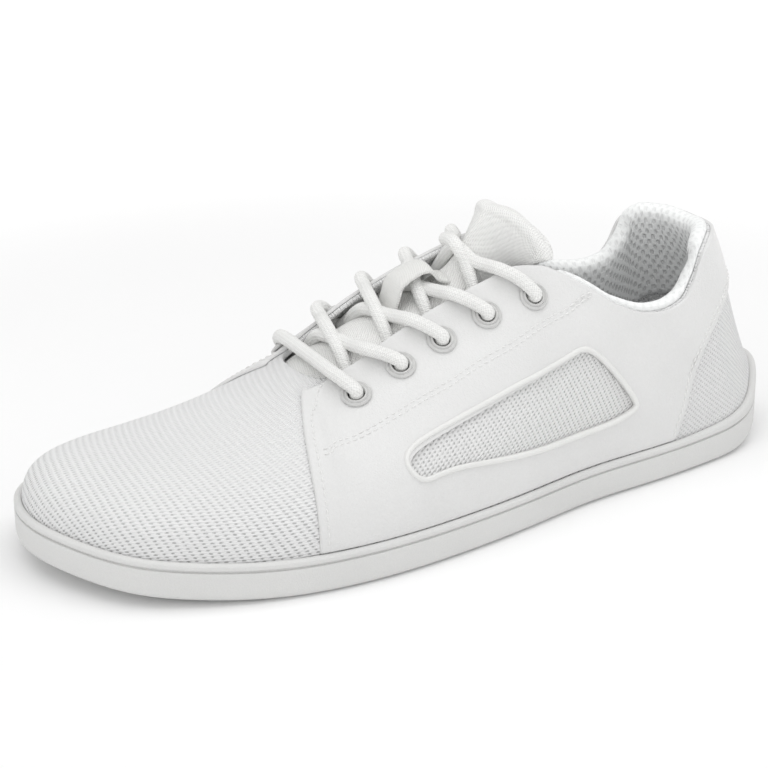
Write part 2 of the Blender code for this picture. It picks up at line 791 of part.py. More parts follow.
def smooth_ring(points, count):
    """Closed curve through plan points, evenly sampled."""
    points = np.asarray(points, float)
    knots = np.linspace(0.0, 2.0 * math.pi, len(points), endpoint=False)
    loops = [Loop(knots, points[:, k]) for k in range(points.shape[1])]
    fine = np.linspace(0.0, 2.0 * math.pi, 40 * len(points), endpoint=False)
    curve = np.stack([loop(fine) for loop in loops], 1)
    ends = np.vstack([curve, curve[:1]])
    run = np.concatenate([[0.0], np.cumsum(np.linalg.norm(np.diff(ends, axis=0), axis=1))])
    marks = np.linspace(0.0, run[-1], count, endpoint=False)
    return np.stack([np.interp(marks, run, ends[:, k]) for k in range(points.shape[1])], 1)


WINDOW_POINTS = 26
# Reach of the window's cutter from the middle plane, as shares of BALL_WIDTH
CUTTER_NEAR = 0.12
CUTTER_FAR = 0.72


def window_ring(grow=0.0):
    """The window's outline as y and z, grown outward by a distance."""
    places = [(LENGTH * (0.5 - a), b * INSTEP_HEIGHT) for a, b in WINDOW]
    ring = smooth_ring(places, WINDOW_POINTS)
    run = np.roll(ring, -1, 0) - np.roll(ring, 1, 0)
    normal = np.stack([run[:, 1], -run[:, 0]], 1)
    normal /= np.linalg.norm(normal, axis=1, keepdims=True)
    centre = ring.mean(0)
    if np.sum((ring - centre) * normal) < 0:
        normal = -normal
    return ring + normal * grow


def build_window_cutter(side):
    """Prism through the quarter where the mesh shows."""
    builder = bmesh.new()
    ring = window_ring(-PIPING / 2.0)
    near, far = CUTTER_NEAR * BALL_WIDTH * side, CUTTER_FAR * BALL_WIDTH * side
    inner = add_loop(builder, [(near, y, z) for y, z in ring])
    outer = add_loop(builder, [(far, y, z) for y, z in ring])
    skin(builder, inner, outer)
    builder.faces.new(inner)
    builder.faces.new(list(reversed(outer)))
    return make_object('guide_window_' + ('lateral' if side > 0 else 'medial'), builder)


def surface_tree(lift):
    """Search tree of the upper's surface moved out along its normals."""
    angles = np.linspace(0.0, 2.0 * math.pi, 240, endpoint=False)
    shares = np.linspace(0.0, 1.0, 40)
    grid = shell_points(angles, shares, lift)
    corners = [Vector(p) for p in grid.reshape(-1, 3)]
    width = len(shares)
    faces = []
    for i in range(len(angles)):
        j = (i + 1) % len(angles)
        for k in range(width - 1):
            faces.append((i * width + k, j * width + k, j * width + k + 1, i * width + k + 1))
    return BVHTree.FromPolygons(corners, faces)


def side_place(tree, side, y, z):
    """Point of the side of the upper at a height, and its outward normal."""
    hit, normal, _, _ = tree.ray_cast(
        Vector((BALL_WIDTH * side, y, z)), Vector((-side, 0.0, 0.0)))
    if normal[0] * side < 0:
        normal = -normal
    return np.array(hit), np.array(normal)


def build_window_rim(name, side, tree, colour):
    """Raised piping round the window, lying on the leather."""
    builder = bmesh.new()
    ring = window_ring(PIPING / 2.0 + WINDOW_LAND)
    places = [side_place(tree, side, y, z) for y, z in ring]
    points = np.array([p for p, _ in places])
    normals = np.array([n for _, n in places])
    run = np.roll(points, -1, 0) - np.roll(points, 1, 0)
    run /= np.linalg.norm(run, axis=1, keepdims=True)
    across = np.cross(run, normals)
    across /= np.linalg.norm(across, axis=1, keepdims=True)
    base = LEATHER + OVERLAY_GAP + FIT
    section = ((-0.5, 0.0), (-0.3, 0.9), (0.3, 0.9), (0.5, 0.0))
    loops = []
    for a, b in section:
        loops.append(add_loop(builder, points + across * (a * PIPING)
                              + normals * (base + b * PIPING_RISE)))
    for first, second in zip(loops, loops[1:] + loops[:1]):
        skin(builder, first, second)
    return make_object(name, builder, colour)


def turned_frame(normal):
    """Two directions across a normal."""
    first = np.cross(normal, (0.0, 1.0, 0.0))
    first /= np.linalg.norm(first)
    return first, np.cross(normal, first)


def eyelet_rise(tree, place, normal):
    """How far the surface rises above its own tangent plane under an eyelet's flange."""
    first, second = turned_frame(normal)
    rise = 0.0
    for t in np.linspace(0.0, 2.0 * math.pi, 2 * EYELET_SIDES, endpoint=False):
        rim = place + (first * math.cos(t) + second * math.sin(t)) * (EYELET_OUTER / 2.0)
        hit, _, _, _ = tree.ray_cast(Vector(rim + normal * EYELET_OUTER), Vector(-normal))
        if hit is not None:
            rise = max(rise, float(np.dot(np.array(hit) - place, normal)))
    return rise


def eyelet_frames(tree, side):
    """Centre and outward normal of each eyelet of one side, seated on the surface's rise."""
    frames = []
    for share in EYELET_FEET[:EYELETS]:
        angle = side_angle(share, side)
        place, normal = surface(angle, rib_share_below(angle, EYELET_SETBACK))
        frames.append((place + normal * eyelet_rise(tree, place, normal), normal))
    return frames


def build_eyelet_cutter(name, frames):
    """Cylinders through leather and mesh, wider than the eyelets' tubes by a clearance."""
    builder = bmesh.new()
    radius = EYELET_HOLE / 2.0 + EYELET_TUBE + GAP
    for place, normal in frames:
        first, second = turned_frame(normal)
        rings = []
        for depth in (-4.0 * WALL, 4.0 * WALL):
            rings.append(add_loop(builder, [
                place + normal * depth + (first * math.cos(t) + second * math.sin(t)) * radius
                for t in np.linspace(0.0, 2.0 * math.pi, EYELET_SIDES, endpoint=False)]))
        skin(builder, *rings)
        builder.faces.new(rings[0])
        builder.faces.new(list(reversed(rings[1])))
    return make_object(name, builder)


def build_eyelet(name, place, normal, colour):
    """Rolled eyelet: a flange on the leather and a tube through the wall."""
    builder = bmesh.new()
    outer = EYELET_OUTER / 2.0
    hole = EYELET_HOLE / 2.0
    seat = OVERLAY_GAP + LEATHER + FIT
    profile = (
        (outer, seat),
        (outer - 0.25 * EYELET_FLANGE, seat + 0.75 * EYELET_FLANGE),
        ((outer + hole) / 2.0, seat + EYELET_FLANGE),
        (hole, seat + 0.5 * EYELET_FLANGE),
        (hole, -WALL),
        (hole + EYELET_TUBE, -WALL),
        (hole + EYELET_TUBE, seat),
    )
    first, second = turned_frame(normal)
    loops = []
    for radius, height in profile:
        loops.append(add_loop(builder, [
            place + normal * height + (first * math.cos(t) + second * math.sin(t)) * radius
            for t in np.linspace(0.0, 2.0 * math.pi, EYELET_SIDES, endpoint=False)]))
    for a, b in zip(loops, loops[1:] + loops[:1]):
        skin(builder, a, b)
    return make_object(name, builder, colour)


PAD_FEET = (0.0, 0.018, 0.042, 0.072, 0.098, 0.120, 0.142, 0.180, 0.225, 0.270, 0.310, 0.342)


def pad_section(angle):
    """Closed section of the collar pad at one rib: outside, over the edge, inside."""
    deep = rib_share_below(angle, PAD_DEPTH)
    mid = rib_share_below(angle, 0.5 * PAD_DEPTH)
    near = rib_share_below(angle, 0.12 * PAD_DEPTH)
    lift = -(WALL + FIT)
    top, top_normal = surface(angle, 1.0, lift)
    below, _ = surface(angle, 0.96, lift)
    up = top - below
    up /= np.linalg.norm(up)
    points = [
        surface(angle, deep, lift)[0],
        surface(angle, mid, lift)[0],
        surface(angle, near, lift)[0],
        top,
        top + up * (0.55 * PAD_ROLL) + top_normal * (0.10 * PAD_THICK),
        top + up * PAD_ROLL - top_normal * (0.15 * PAD_THICK),
        top + up * (0.95 * PAD_ROLL) - top_normal * (0.55 * PAD_THICK),
        top + up * (0.45 * PAD_ROLL) - top_normal * (0.90 * PAD_THICK),
        surface(angle, near, lift - PAD_THICK)[0],
        surface(angle, mid, lift - 0.85 * PAD_THICK)[0],
        surface(angle, deep, lift - PAD_THIN)[0],
    ]
    return np.array(points)


def build_collar_pad():
    """Padded lining roll round the ankle, from one throat corner to the other."""
    angles = [float(angle_of(share)) for share in PAD_FEET]
    angles = [2.0 * math.pi - a for a in reversed(angles[1:])] + angles
    builder = bmesh.new()
    rings = [add_loop(builder, pad_section(a)) for a in angles]
    for first, second in zip(rings, rings[1:]):
        skin(builder, first, second)
    builder.faces.new(rings[0])
    builder.faces.new(list(reversed(rings[-1])))
    return make_object('collar_pad', builder, material('collar_lining', (0.62, 0.63, 0.63), 0.9))


def tongue_rows():
    table = np.array(TONGUE)
    names = ('centre', 'height', 'half', 'back', 'drop', 'tilt')
    keys = np.linspace(0.0, 1.0, len(table))
    return Rows(keys, {name: table[:, i] for i, name in enumerate(names)})


TONGUE_ROWS = tongue_rows()
TONGUE_STEPS = 13
TONGUE_CROWN = 2.2
TONGUE_ACROSS = (-1.0, -0.75, -0.4, 0.0, 0.4, 0.75, 1.0)


def tongue_place(along, across, under):
    """Point of the tongue's upper face; under is the search tree of the upper's inside."""
    centre = float(TONGUE_ROWS.at(along, 'centre'))
    half = float(TONGUE_ROWS.at(along, 'half')) * THROAT_GAP
    back = float(TONGUE_ROWS.at(along, 'back')) * THROAT_GAP
    drop = float(TONGUE_ROWS.at(along, 'drop')) * THROAT_GAP
    tilt = float(TONGUE_ROWS.at(along, 'tilt')) * THROAT_GAP
    x = float(axis_x(centre)) + across * half
    y = LENGTH * (0.5 - centre) + back * across**2
    z = float(TONGUE_ROWS.at(along, 'height')) * TONGUE_HEIGHT
    z -= drop * abs(across)**TONGUE_CROWN + tilt * across * abs(across)
    hit, _, _, _ = under.ray_cast(Vector((x, y, 0.02)), Vector((0.0, 0.0, 1.0)))
    if hit is not None and centre > 0.45:
        z = min(z, hit[2])
    return np.array([x, y, z])


def build_tongue(under, colour):
    """Padded tongue, from under the vamp to above the instep."""
    builder = bmesh.new()
    rows = []
    for along in np.linspace(0.0, 1.0, TONGUE_STEPS):
        rows.append(add_loop(builder, [
            tongue_place(along, across, under) for across in TONGUE_ACROSS]))
    for first, second in zip(rows, rows[1:]):
        skin(builder, first, second, closed=False)
    item = make_object('tongue', builder, colour)
    shell = item.modifiers.new('padding', 'SOLIDIFY')
    shell.thickness = TONGUE_THICK
    shell.offset = -1.0
    shell.use_even_offset = False
    return item


def tube(builder, points, radius, sides=6):
    """Round cord along a path with flat ends."""
    points = np.asarray(points, float)
    run = np.gradient(points, axis=0)
    run /= np.linalg.norm(run, axis=1, keepdims=True)
    normal = np.cross(run[0], (0.0, 0.0, 1.0))
    normal /= np.linalg.norm(normal)
    rings = []
    for point, way in zip(points, run):
        normal = normal - way * float(np.dot(normal, way))
        normal /= np.linalg.norm(normal)
        other = np.cross(way, normal)
        rings.append(add_loop(builder, [
            point + (normal * math.cos(t) + other * math.sin(t)) * radius
            for t in np.linspace(0.0, 2.0 * math.pi, sides, endpoint=False)]))
    for first, second in zip(rings, rings[1:]):
        skin(builder, first, second)
    builder.faces.new(rings[0])
    builder.faces.new(list(reversed(rings[-1])))


def curve_through(points, count):
    """Smooth open path through points, evenly spaced."""
    points = np.asarray(points, float)
    run = np.concatenate([[0.0], np.cumsum(np.linalg.norm(np.diff(points, axis=0), axis=1))])
    rows = Rows(run, {k: points[:, k] for k in range(3)})
    marks = np.linspace(0.0, run[-1], count)
    return np.stack([rows.at(marks, k) for k in range(3)], 1)


def tongue_height(tree, x, y):
    """Height of the tongue's upper face at a plan point, 0 beside the tongue."""
    hit, _, _, _ = tree.ray_cast(Vector((x, y, 2.0 * TONGUE_HEIGHT)), Vector((0.0, 0.0, -1.0)))
    return 0.0 if hit is None else hit[2]


def tongue_tree(under):
    """Search tree of the tongue's upper face."""
    steps = np.linspace(0.0, 1.0, 60)
    across = np.linspace(-1.0, 1.0, 25)
    corners = [Vector(tongue_place(a, b, under)) for a in steps for b in across]
    wide = len(across)
    faces = []
    for i in range(len(steps) - 1):
        for k in range(wide - 1):
            faces.append((i * wide + k, i * wide + k + 1,
                          (i + 1) * wide + k + 1, (i + 1) * wide + k))
    return BVHTree.FromPolygons(corners, faces)


def edge_point(angle):
    """Top edge of the leather at a rib, and its normal."""
    place, normal = surface(angle, rib_share_below(angle, EDGE_BACK))
    return place + normal * (OVERLAY_GAP + LEATHER), normal


def eyelet_rest(frame):
    """Where a lace ends above an eyelet's hole, and a point above that."""
    place, normal = frame
    return place + normal * EYELET_TOP, place + normal * (EYELET_TOP + 0.55 * LACE)


def rest_on_tongue(tree, point, level=0.5):
    """The point moved out until a lace there clears the tongue, level in lace diameters."""
    place = Vector(point)
    place.z = max(place.z, tongue_height(tree, place.x, place.y))
    clear = LACE * level + FIT
    for _ in range(3):
        seat, normal, _, _ = tree.find_nearest(place)
        if normal.z < 0.0:
            normal = -normal
        short = clear - (place - seat).dot(normal)
        if short > 0.0:
            place = place + normal * short
    return np.array(place)


def lace_seat(angle):
    """Where a lace lies over the leather, halfway from the edge to an eyelet."""
    share = rib_share_below(angle, 0.5 * EYELET_SETBACK)
    return surface(angle, share, EYELET_TOP + LACE / 2.0)[0]


def over_edge(angle):
    """Where a lace passes over the leather's edge."""
    place, normal = edge_point(angle)
    return place + normal * (LACE / 2.0 + 4.0 * FIT)


def strand(tree, frames, side, number, level):
    """Path of one lace strand into an eyelet of one side, from under the other side's edge.

    level is the height of its middle above the tongue, in lace diameters.
    """
    foot = EYELET_FEET[number]
    previous = EYELET_FEET[number - 1]
    between = side_angle(0.5 * (foot + previous), side)
    bend = over_edge(between)
    under = ribs([side_angle(previous, -side)], [1.0])[0, 0]
    start = np.array([under[0] + side * STRAND_IN * THROAT_GAP, under[1], 0.0])
    start = rest_on_tongue(tree, start)
    path = [start]
    for part in (0.25, 0.5, 0.75):
        place = start + (bend - start) * part
        path.append(rest_on_tongue(tree, place, 0.5 + (level - 0.5) * math.sin(math.pi * part)))
    hole, above = eyelet_rest(frames[side][number])
    seat = lace_seat(0.5 * (between + side_angle(foot, side)))
    return path + [bend, seat, above, hole]


def build_lace_cross(number, tree, frames, colour):
    """Two strands that cross over the tongue, joined where they touch."""
    low = bmesh.new()
    tube(low, curve_through(strand(tree, frames, 1, number, LOW_STRAND), 12), LACE / 2.0)
    item = make_object('lace_cross_%d' % number, low, colour)
    high = bmesh.new()
    tube(high, curve_through(strand(tree, frames, -1, number, HIGH_STRAND), 12), LACE / 2.0)
    cut(item, make_object('guide_strand_%d' % number, high), 'UNION')
    return item


def build_lace_bar(tree, frames, colour):
    """Straight bar between the first pair of eyelets."""
    near, far = frames[1][0], frames[-1][0]
    near_hole, near_above = eyelet_rest(near)
    far_hole, far_above = eyelet_rest(far)
    near_bend, far_bend = (over_edge(side_angle(BAR_FOOT, side)) for side in (1, -1))
    near_seat, far_seat = (
        lace_seat(side_angle(0.5 * (BAR_FOOT + EYELET_FEET[0]), side)) for side in (1, -1))
    middle = rest_on_tongue(tree, 0.5 * (near_bend + far_bend))
    points = [
        near_hole, near_above, near_seat, near_bend, middle,
        far_bend, far_seat, far_above, far_hole,
    ]
    builder = bmesh.new()
    tube(builder, curve_through(points, 16), LACE / 2.0)
    return make_object('lace_bar', builder, colour)


# Keeper strap on the tongue: share of the length, height above the tongue in lace diameters
KEEPER = (
    (0.540, 0.0),
    (0.534, 1.0),
    (0.527, 2.0),
    (0.516, 2.15),
    (0.506, 2.15),
    (0.494, 1.9),
    (0.478, 0.5),
    (0.466, 0.0),
)


def build_keeper(tree, colour):
    """Strap sewn on the tongue, over the crossing of the fourth pair of eyelets."""
    builder = bmesh.new()
    rings = []
    for share, level in KEEPER:
        y = LENGTH * (0.5 - share)
        middle = float(axis_x(share))
        ring = []
        for rise in (0.0, KEEPER_THICK):
            for across in (-0.5, 0.0, 0.5):
                x = middle + across * KEEPER_WIDTH * (1.0 if rise == 0.0 else -1.0)
                z = tongue_height(tree, x, y) + 2.0 * FIT + level * LACE + rise
                ring.append((x, y, z))
        rings.append(add_loop(builder, ring))
    for first, second in zip(rings, rings[1:]):
        skin(builder, first, second)
    builder.faces.new(rings[0])
    builder.faces.new(list(reversed(rings[-1])))
    return make_object('lace_keeper', builder, colour)


def main():
    clear_scene()
    midsole_base = FLOOR + GAP
    insole_base = midsole_base + MIDSOLE + 2.0 * GAP
    build_outsole()
    build_board('midsole', BEAD_WIDTH + GAP, midsole_base, MIDSOLE,
                material('midsole_foam', (0.80, 0.80, 0.78), 0.8))
    build_board('insole', BEAD_WIDTH + WALL + 3.0 * GAP, insole_base, INSOLE,
                material('insole_fabric', (0.70, 0.71, 0.72), 0.9), HEEL_CUP)

    tree = surface_tree(0.0)
    frames = {}
    cutters = {}
    for side, word in ((1, 'lateral'), (-1, 'medial')):
        frames[side] = eyelet_frames(tree, side)
        cutters[side] = build_eyelet_cutter('guide_eyelets_' + word, frames[side])
    upper = build_upper(cutters[1])
    cut(upper, cutters[-1])

    leather = material('quarter_leather', (0.88, 0.88, 0.88), 0.5)
    piping = material('piping', (0.85, 0.85, 0.85), 0.55)
    metal = material('eyelet_enamel', (0.66, 0.66, 0.65), 0.45)
    cord = material('lace_cotton', (0.87, 0.87, 0.86), 0.8)
    for side, word in ((1, 'lateral'), (-1, 'medial')):
        build_quarter('quarter_' + word, side, cutters[side], leather)
        build_window_rim('window_piping_' + word, side, tree, piping)
        for i, (place, normal) in enumerate(frames[side]):
            build_eyelet('eyelet_%s_%d' % (word, i + 1), place, normal, metal)

    build_collar_pad()
    under = surface_tree(-(WALL + FIT))
    cloth = material('tongue_fabric', (0.84, 0.84, 0.83), 0.85)
    build_tongue(under, cloth)
    over = tongue_tree(under)
    build_lace_bar(over, frames, cord)
    for number in range(1, EYELETS):
        build_lace_cross(number, over, frames, cord)
    build_keeper(over, cloth)


main()
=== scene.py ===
"""Looks of a low lace-up barefoot shoe for the left foot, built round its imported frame.

Metres, +Z up. The toe points to -Y, the heel to +Y, the outer (lateral) side to +X.
A place on the upper is given by an angle round the outline (0 at the heel, pi at the toe,
lateral side first) and a share of the rib from the sole's bead (0) to its top (1).
"""
from __future__ import annotations

import logging
import math
from dataclasses import dataclass
from enum import Enum
from typing import Any, Sequence

import bmesh
import bpy
import numpy as np
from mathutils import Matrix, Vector
from mathutils.bvhtree import BVHTree

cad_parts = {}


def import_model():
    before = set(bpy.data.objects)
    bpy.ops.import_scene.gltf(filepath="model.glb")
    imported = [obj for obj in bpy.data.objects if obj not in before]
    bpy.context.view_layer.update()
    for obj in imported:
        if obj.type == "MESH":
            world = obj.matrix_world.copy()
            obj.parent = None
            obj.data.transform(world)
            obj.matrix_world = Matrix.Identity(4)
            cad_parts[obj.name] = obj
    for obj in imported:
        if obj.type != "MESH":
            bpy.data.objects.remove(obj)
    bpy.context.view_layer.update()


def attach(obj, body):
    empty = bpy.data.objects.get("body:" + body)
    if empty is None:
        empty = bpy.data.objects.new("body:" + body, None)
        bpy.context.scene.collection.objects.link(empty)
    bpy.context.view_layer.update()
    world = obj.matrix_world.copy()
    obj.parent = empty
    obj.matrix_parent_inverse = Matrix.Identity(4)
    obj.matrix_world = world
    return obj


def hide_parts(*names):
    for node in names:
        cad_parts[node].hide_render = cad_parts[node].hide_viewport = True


LOG = logging.getLogger("shoe")
Array = np.ndarray
TURN = 2.0 * math.pi
BODY = "root"


class Side(Enum):
    """The two sides of the shoe and their sign on x."""

    LATERAL = 1
    MEDIAL = -1

    @property
    def word(self) -> str:
        """Name of the side in node names."""
        return self.name.lower()


def smooth(low: float, high: float, x: Any) -> Array:
    """Rise from 0 to 1 between two values.

    Args:
        low: value where the rise starts.
        high: value where it ends.
        x: values to read it at.

    Returns:
        The rise at each value.
    """
    t = np.clip((np.asarray(x, float) - low) / (high - low), 0.0, 1.0)
    return t * t * (3.0 - 2.0 * t)


def bump_at(x: Any, centre: float, width: float) -> Array:
    """Soft bell of height 1 round a centre."""
    return np.exp(-(((np.asarray(x, float) - centre) / width) ** 2))


def turns(count: int) -> Array:
    """Even angles round a full turn, the end left out."""
    return np.linspace(0.0, TURN, count, endpoint=False)


def angle_of(share: Any) -> Array:
    """Angle round the outline for a share of the length from the heel."""
    return np.arccos(1.0 - 2.0 * np.asarray(share, float))


def share_of(angle: Any) -> Array:
    """Share of the length from the heel for an angle round the outline."""
    return (1.0 - np.cos(angle)) / 2.0


def unit(vectors: Array) -> Array:
    """The vectors at length 1."""
    return vectors / np.maximum(np.linalg.norm(vectors, axis=-1, keepdims=True), 1e-12)


class Loop:
    """Closed cubic through values at knots round the outline."""

    def __init__(self, knots: Sequence[float], values: Sequence[float]) -> None:
        """Fit the cubic.

        Args:
            knots: rising angles.
            values: one value for each knot.
        """
        self.knots = np.asarray(knots, float)
        self.values = np.asarray(values, float)
        self.steps = np.diff(np.append(self.knots, self.knots[0] + TURN))
        count = len(self.knots)
        matrix = np.zeros((count, count))
        right = np.zeros(count)
        for i in range(count):
            before, after = self.steps[i - 1], self.steps[i]
            following = (i + 1) % count
            matrix[i, i - 1] += before
            matrix[i, i] += 2.0 * (before + after)
            matrix[i, following] += after
            rise = (self.values[following] - self.values[i]) / after
            fall = (self.values[i] - self.values[i - 1]) / before
            right[i] = 6.0 * (rise - fall)
        self.bends = np.linalg.solve(matrix, right)

    def __call__(self, angle: Any) -> Array:
        """Value of the cubic at each angle."""
        x = (np.asarray(angle, float) - self.knots[0]) % TURN + self.knots[0]
        i = np.clip(np.searchsorted(self.knots, x, side="right") - 1, 0, len(self.knots) - 1)
        j = (i + 1) % len(self.knots)
        h = self.steps[i]
        a = x - self.knots[i]
        b = h - a
        curve = (self.bends[i] * b**3 + self.bends[j] * a**3) / (6.0 * h)
        line_b = (self.values[i] / h - self.bends[i] * h / 6.0) * b
        line_a = (self.values[j] / h - self.bends[j] * h / 6.0) * a
        return curve + line_b + line_a


def cubic(u: Array, step: Array, ends: tuple[Array, Array],
          slopes: tuple[Array, Array]) -> Array:
    """Cubic between two values with a slope at each.

    Args:
        u: share of the way, 0 to 1.
        step: distance between the two.
        ends: the two values.
        slopes: their slopes.

    Returns:
        The value at each share.
    """
    value = ends[0] * (2 * u**3 - 3 * u**2 + 1) + ends[1] * (3 * u**2 - 2 * u**3)
    bend = slopes[0] * (u**3 - 2 * u**2 + u) + slopes[1] * (u**3 - u**2)
    return value + step * bend


def running(points: Array) -> Array:
    """Running length along a line of points."""
    return np.concatenate([[0.0], np.cumsum(np.linalg.norm(np.diff(points, axis=0), axis=1))])


def sampled(marks: Array, run: Array, points: Array) -> Array:
    """Points of a line at given running lengths."""
    return np.stack([np.interp(marks, run, points[:, k]) for k in range(points.shape[1])], 1)


class Rows:
    """Shape-keeping cubic through the named columns of a table."""

    def __init__(self, keys: Any, columns: dict, level_ends: Sequence[Any] = ()) -> None:
        """Fit each column.

        Args:
            keys: rising keys of the rows.
            columns: values of each column by name.
            level_ends: names of the columns whose ends run level.
        """
        self.keys = np.asarray(keys, float)
        self.columns = {}
        for name, values in columns.items():
            values = np.asarray(values, float)
            self.columns[name] = (values, self._slopes(values, name in level_ends))

    def _slopes(self, values: Array, level: bool) -> Array:
        """Slope of a column at each row."""
        steps = np.diff(self.keys)
        rates = np.diff(values) / steps
        slopes = np.zeros(len(values))
        for i in range(1, len(values) - 1):
            if rates[i - 1] * rates[i] > 0:
                a = 2.0 * steps[i] + steps[i - 1]
                b = steps[i] + 2.0 * steps[i - 1]
                slopes[i] = (a + b) / (a / rates[i - 1] + b / rates[i])
        slopes[0] = 0.0 if level else rates[0]
        slopes[-1] = 0.0 if level else rates[-1]
        return slopes

    def at(self, key: Any, name: Any) -> Array:
        """Value of a column at each key."""
        values, slopes = self.columns[name]
        k = np.clip(np.asarray(key, float), self.keys[0], self.keys[-1])
        i = np.clip(np.searchsorted(self.keys, k, side="right") - 1, 0, len(self.keys) - 2)
        h = self.keys[i + 1] - self.keys[i]
        u = (k - self.keys[i]) / h
        return cubic(u, h, (values[i], values[i + 1]), (slopes[i], slopes[i + 1]))


def path_through(points: Any, step: float) -> Array:
    """Smooth open path through points, evenly spaced.

    Args:
        points: places on the route.
        step: distance between the samples.

    Returns:
        The samples, (count, 3).
    """
    points = np.asarray(points, float)
    run = running(points)
    slopes = np.zeros_like(points)
    slopes[1:-1] = (points[2:] - points[:-2]) / (run[2:] - run[:-2])[:, None]
    slopes[0] = (points[1] - points[0]) / (run[1] - run[0])
    slopes[-1] = (points[-1] - points[-2]) / (run[-1] - run[-2])
    marks = np.linspace(0.0, run[-1], max(8, int(run[-1] / step)))
    i = np.clip(np.searchsorted(run, marks, side="right") - 1, 0, len(points) - 2)
    h = (run[i + 1] - run[i])[:, None]
    u = (marks - run[i])[:, None] / h
    return cubic(u, h, (points[i], points[i + 1]), (slopes[i], slopes[i + 1]))


def ring_through(points: Any, count: int) -> Array:
    """Closed curve through points, evenly sampled.

    Args:
        points: places on the ring.
        count: number of samples.

    Returns:
        The samples, (count, dimensions).
    """
    points = np.asarray(points, float)
    knots = turns(len(points))
    loops = [Loop(knots, points[:, k]) for k in range(points.shape[1])]
    fine = turns(40 * len(points))
    curve = np.stack([loop(fine) for loop in loops], 1)
    closed = np.vstack([curve, curve[:1]])
    run = running(closed)
    return sampled(np.linspace(0.0, run[-1], count, endpoint=False), run, closed)


class Value:
    """A socket of a material whose arithmetic adds Math nodes."""

    def __init__(self, kit: NodeKit, socket: Any) -> None:
        self.kit = kit
        self.socket = socket

    def math(self, operation: str, *others: Any) -> Value:
        """Add a Math node that takes this value first."""
        inputs = dict(enumerate((self, *others)))
        return self.kit.node("ShaderNodeMath", {"operation": operation}, inputs)

    def __add__(self, other: Any) -> Value:
        """Sum."""
        return self.math("ADD", other)

    def __mul__(self, other: Any) -> Value:
        """Product."""
        return self.math("MULTIPLY", other)

    def __sub__(self, other: Any) -> Value:
        """Difference."""
        return self.math("SUBTRACT", other)

    def __rsub__(self, other: Any) -> Value:
        """Difference from a number."""
        return self.math("MULTIPLY", -1.0).math("ADD", other)

    def sine(self) -> Value:
        """Sine."""
        return self.math("SINE")

    def cosine(self) -> Value:
        """Cosine."""
        return self.math("COSINE")

    def size(self) -> Value:
        """Absolute value."""
        return self.math("ABSOLUTE")

    def rise(self, low: float, high: float) -> Value:
        """Smooth rise from 0 to 1 between two values."""
        settings = {"interpolation_type": "SMOOTHSTEP"}
        inputs = {"Value": self, "From Min": low, "From Max": high}
        return self.kit.node("ShaderNodeMapRange", settings, inputs)


class NodeKit:
    """Adds nodes to a material's tree."""

    def __init__(self, tree: Any) -> None:
        """Hold the tree."""
        self.tree = tree

    def feed(self, socket: Any, value: Any) -> None:
        """Link a value to a socket, or set it."""
        if isinstance(value, Value):
            self.tree.links.new(value.socket, socket)
        else:
            socket.default_value = value

    def node(self, kind: str, settings: dict | None = None, inputs: dict | None = None,
             output: Any = 0) -> Value:
        """Add a node.

        Args:
            kind: type of the node.
            settings: its properties, set first.
            inputs: values or links of its sockets.
            output: socket that the result is read from.

        Returns:
            The output socket as a value.
        """
        made = self.tree.nodes.new(kind)
        for name, setting in (settings or {}).items():
            setattr(made, name, setting)
        for key, value in (inputs or {}).items():
            self.feed(made.inputs[key], value)
        return Value(self, made.outputs[output])

    def split(self, vector: Value) -> tuple[Value, Value, Value]:
        """The three parts of a vector."""
        made = self.tree.nodes.new("ShaderNodeSeparateXYZ")
        self.feed(made.inputs[0], vector)
        x, y, z = (Value(self, socket) for socket in made.outputs)
        return x, y, z

    def place(self) -> Value:
        """Object coordinates."""
        return self.node("ShaderNodeTexCoord", output="Object")

    def cloth_place(self) -> tuple[Value, Value, Value]:
        """The piece's own coordinates over its surface, in metres."""
        return self.split(self.node("ShaderNodeUVMap", {"uv_map": "cloth"}))

    def noise(self, size: float, detail: float = 2.0) -> Value:
        """Noise of a size in metres on object coordinates, 0 to 1."""
        inputs = {"Vector": self.place(), "Scale": 1.0 / size, "Detail": detail}
        return self.node("ShaderNodeTexNoise", {"noise_dimensions": "3D"}, inputs)

    def cells(self, size: float) -> Value:
        """Distance to the nearest centre of cells of a size in metres."""
        inputs = {"Vector": self.place(), "Scale": 1.0 / size}
        return self.node("ShaderNodeTexVoronoi", {"feature": "F1"}, inputs)

    def mix(self, share: Value, first: Sequence[float], second: Sequence[float]) -> Value:
        """Colour between two colours."""
        made = self.tree.nodes.new("ShaderNodeMix")
        made.data_type = "RGBA"
        colours = [s for s in made.inputs if s.type == "RGBA"]
        self.feed(made.inputs[0], share)
        colours[0].default_value = (*first, 1.0)
        colours[1].default_value = (*second, 1.0)
        return Value(self, [s for s in made.outputs if s.type == "RGBA"][0])


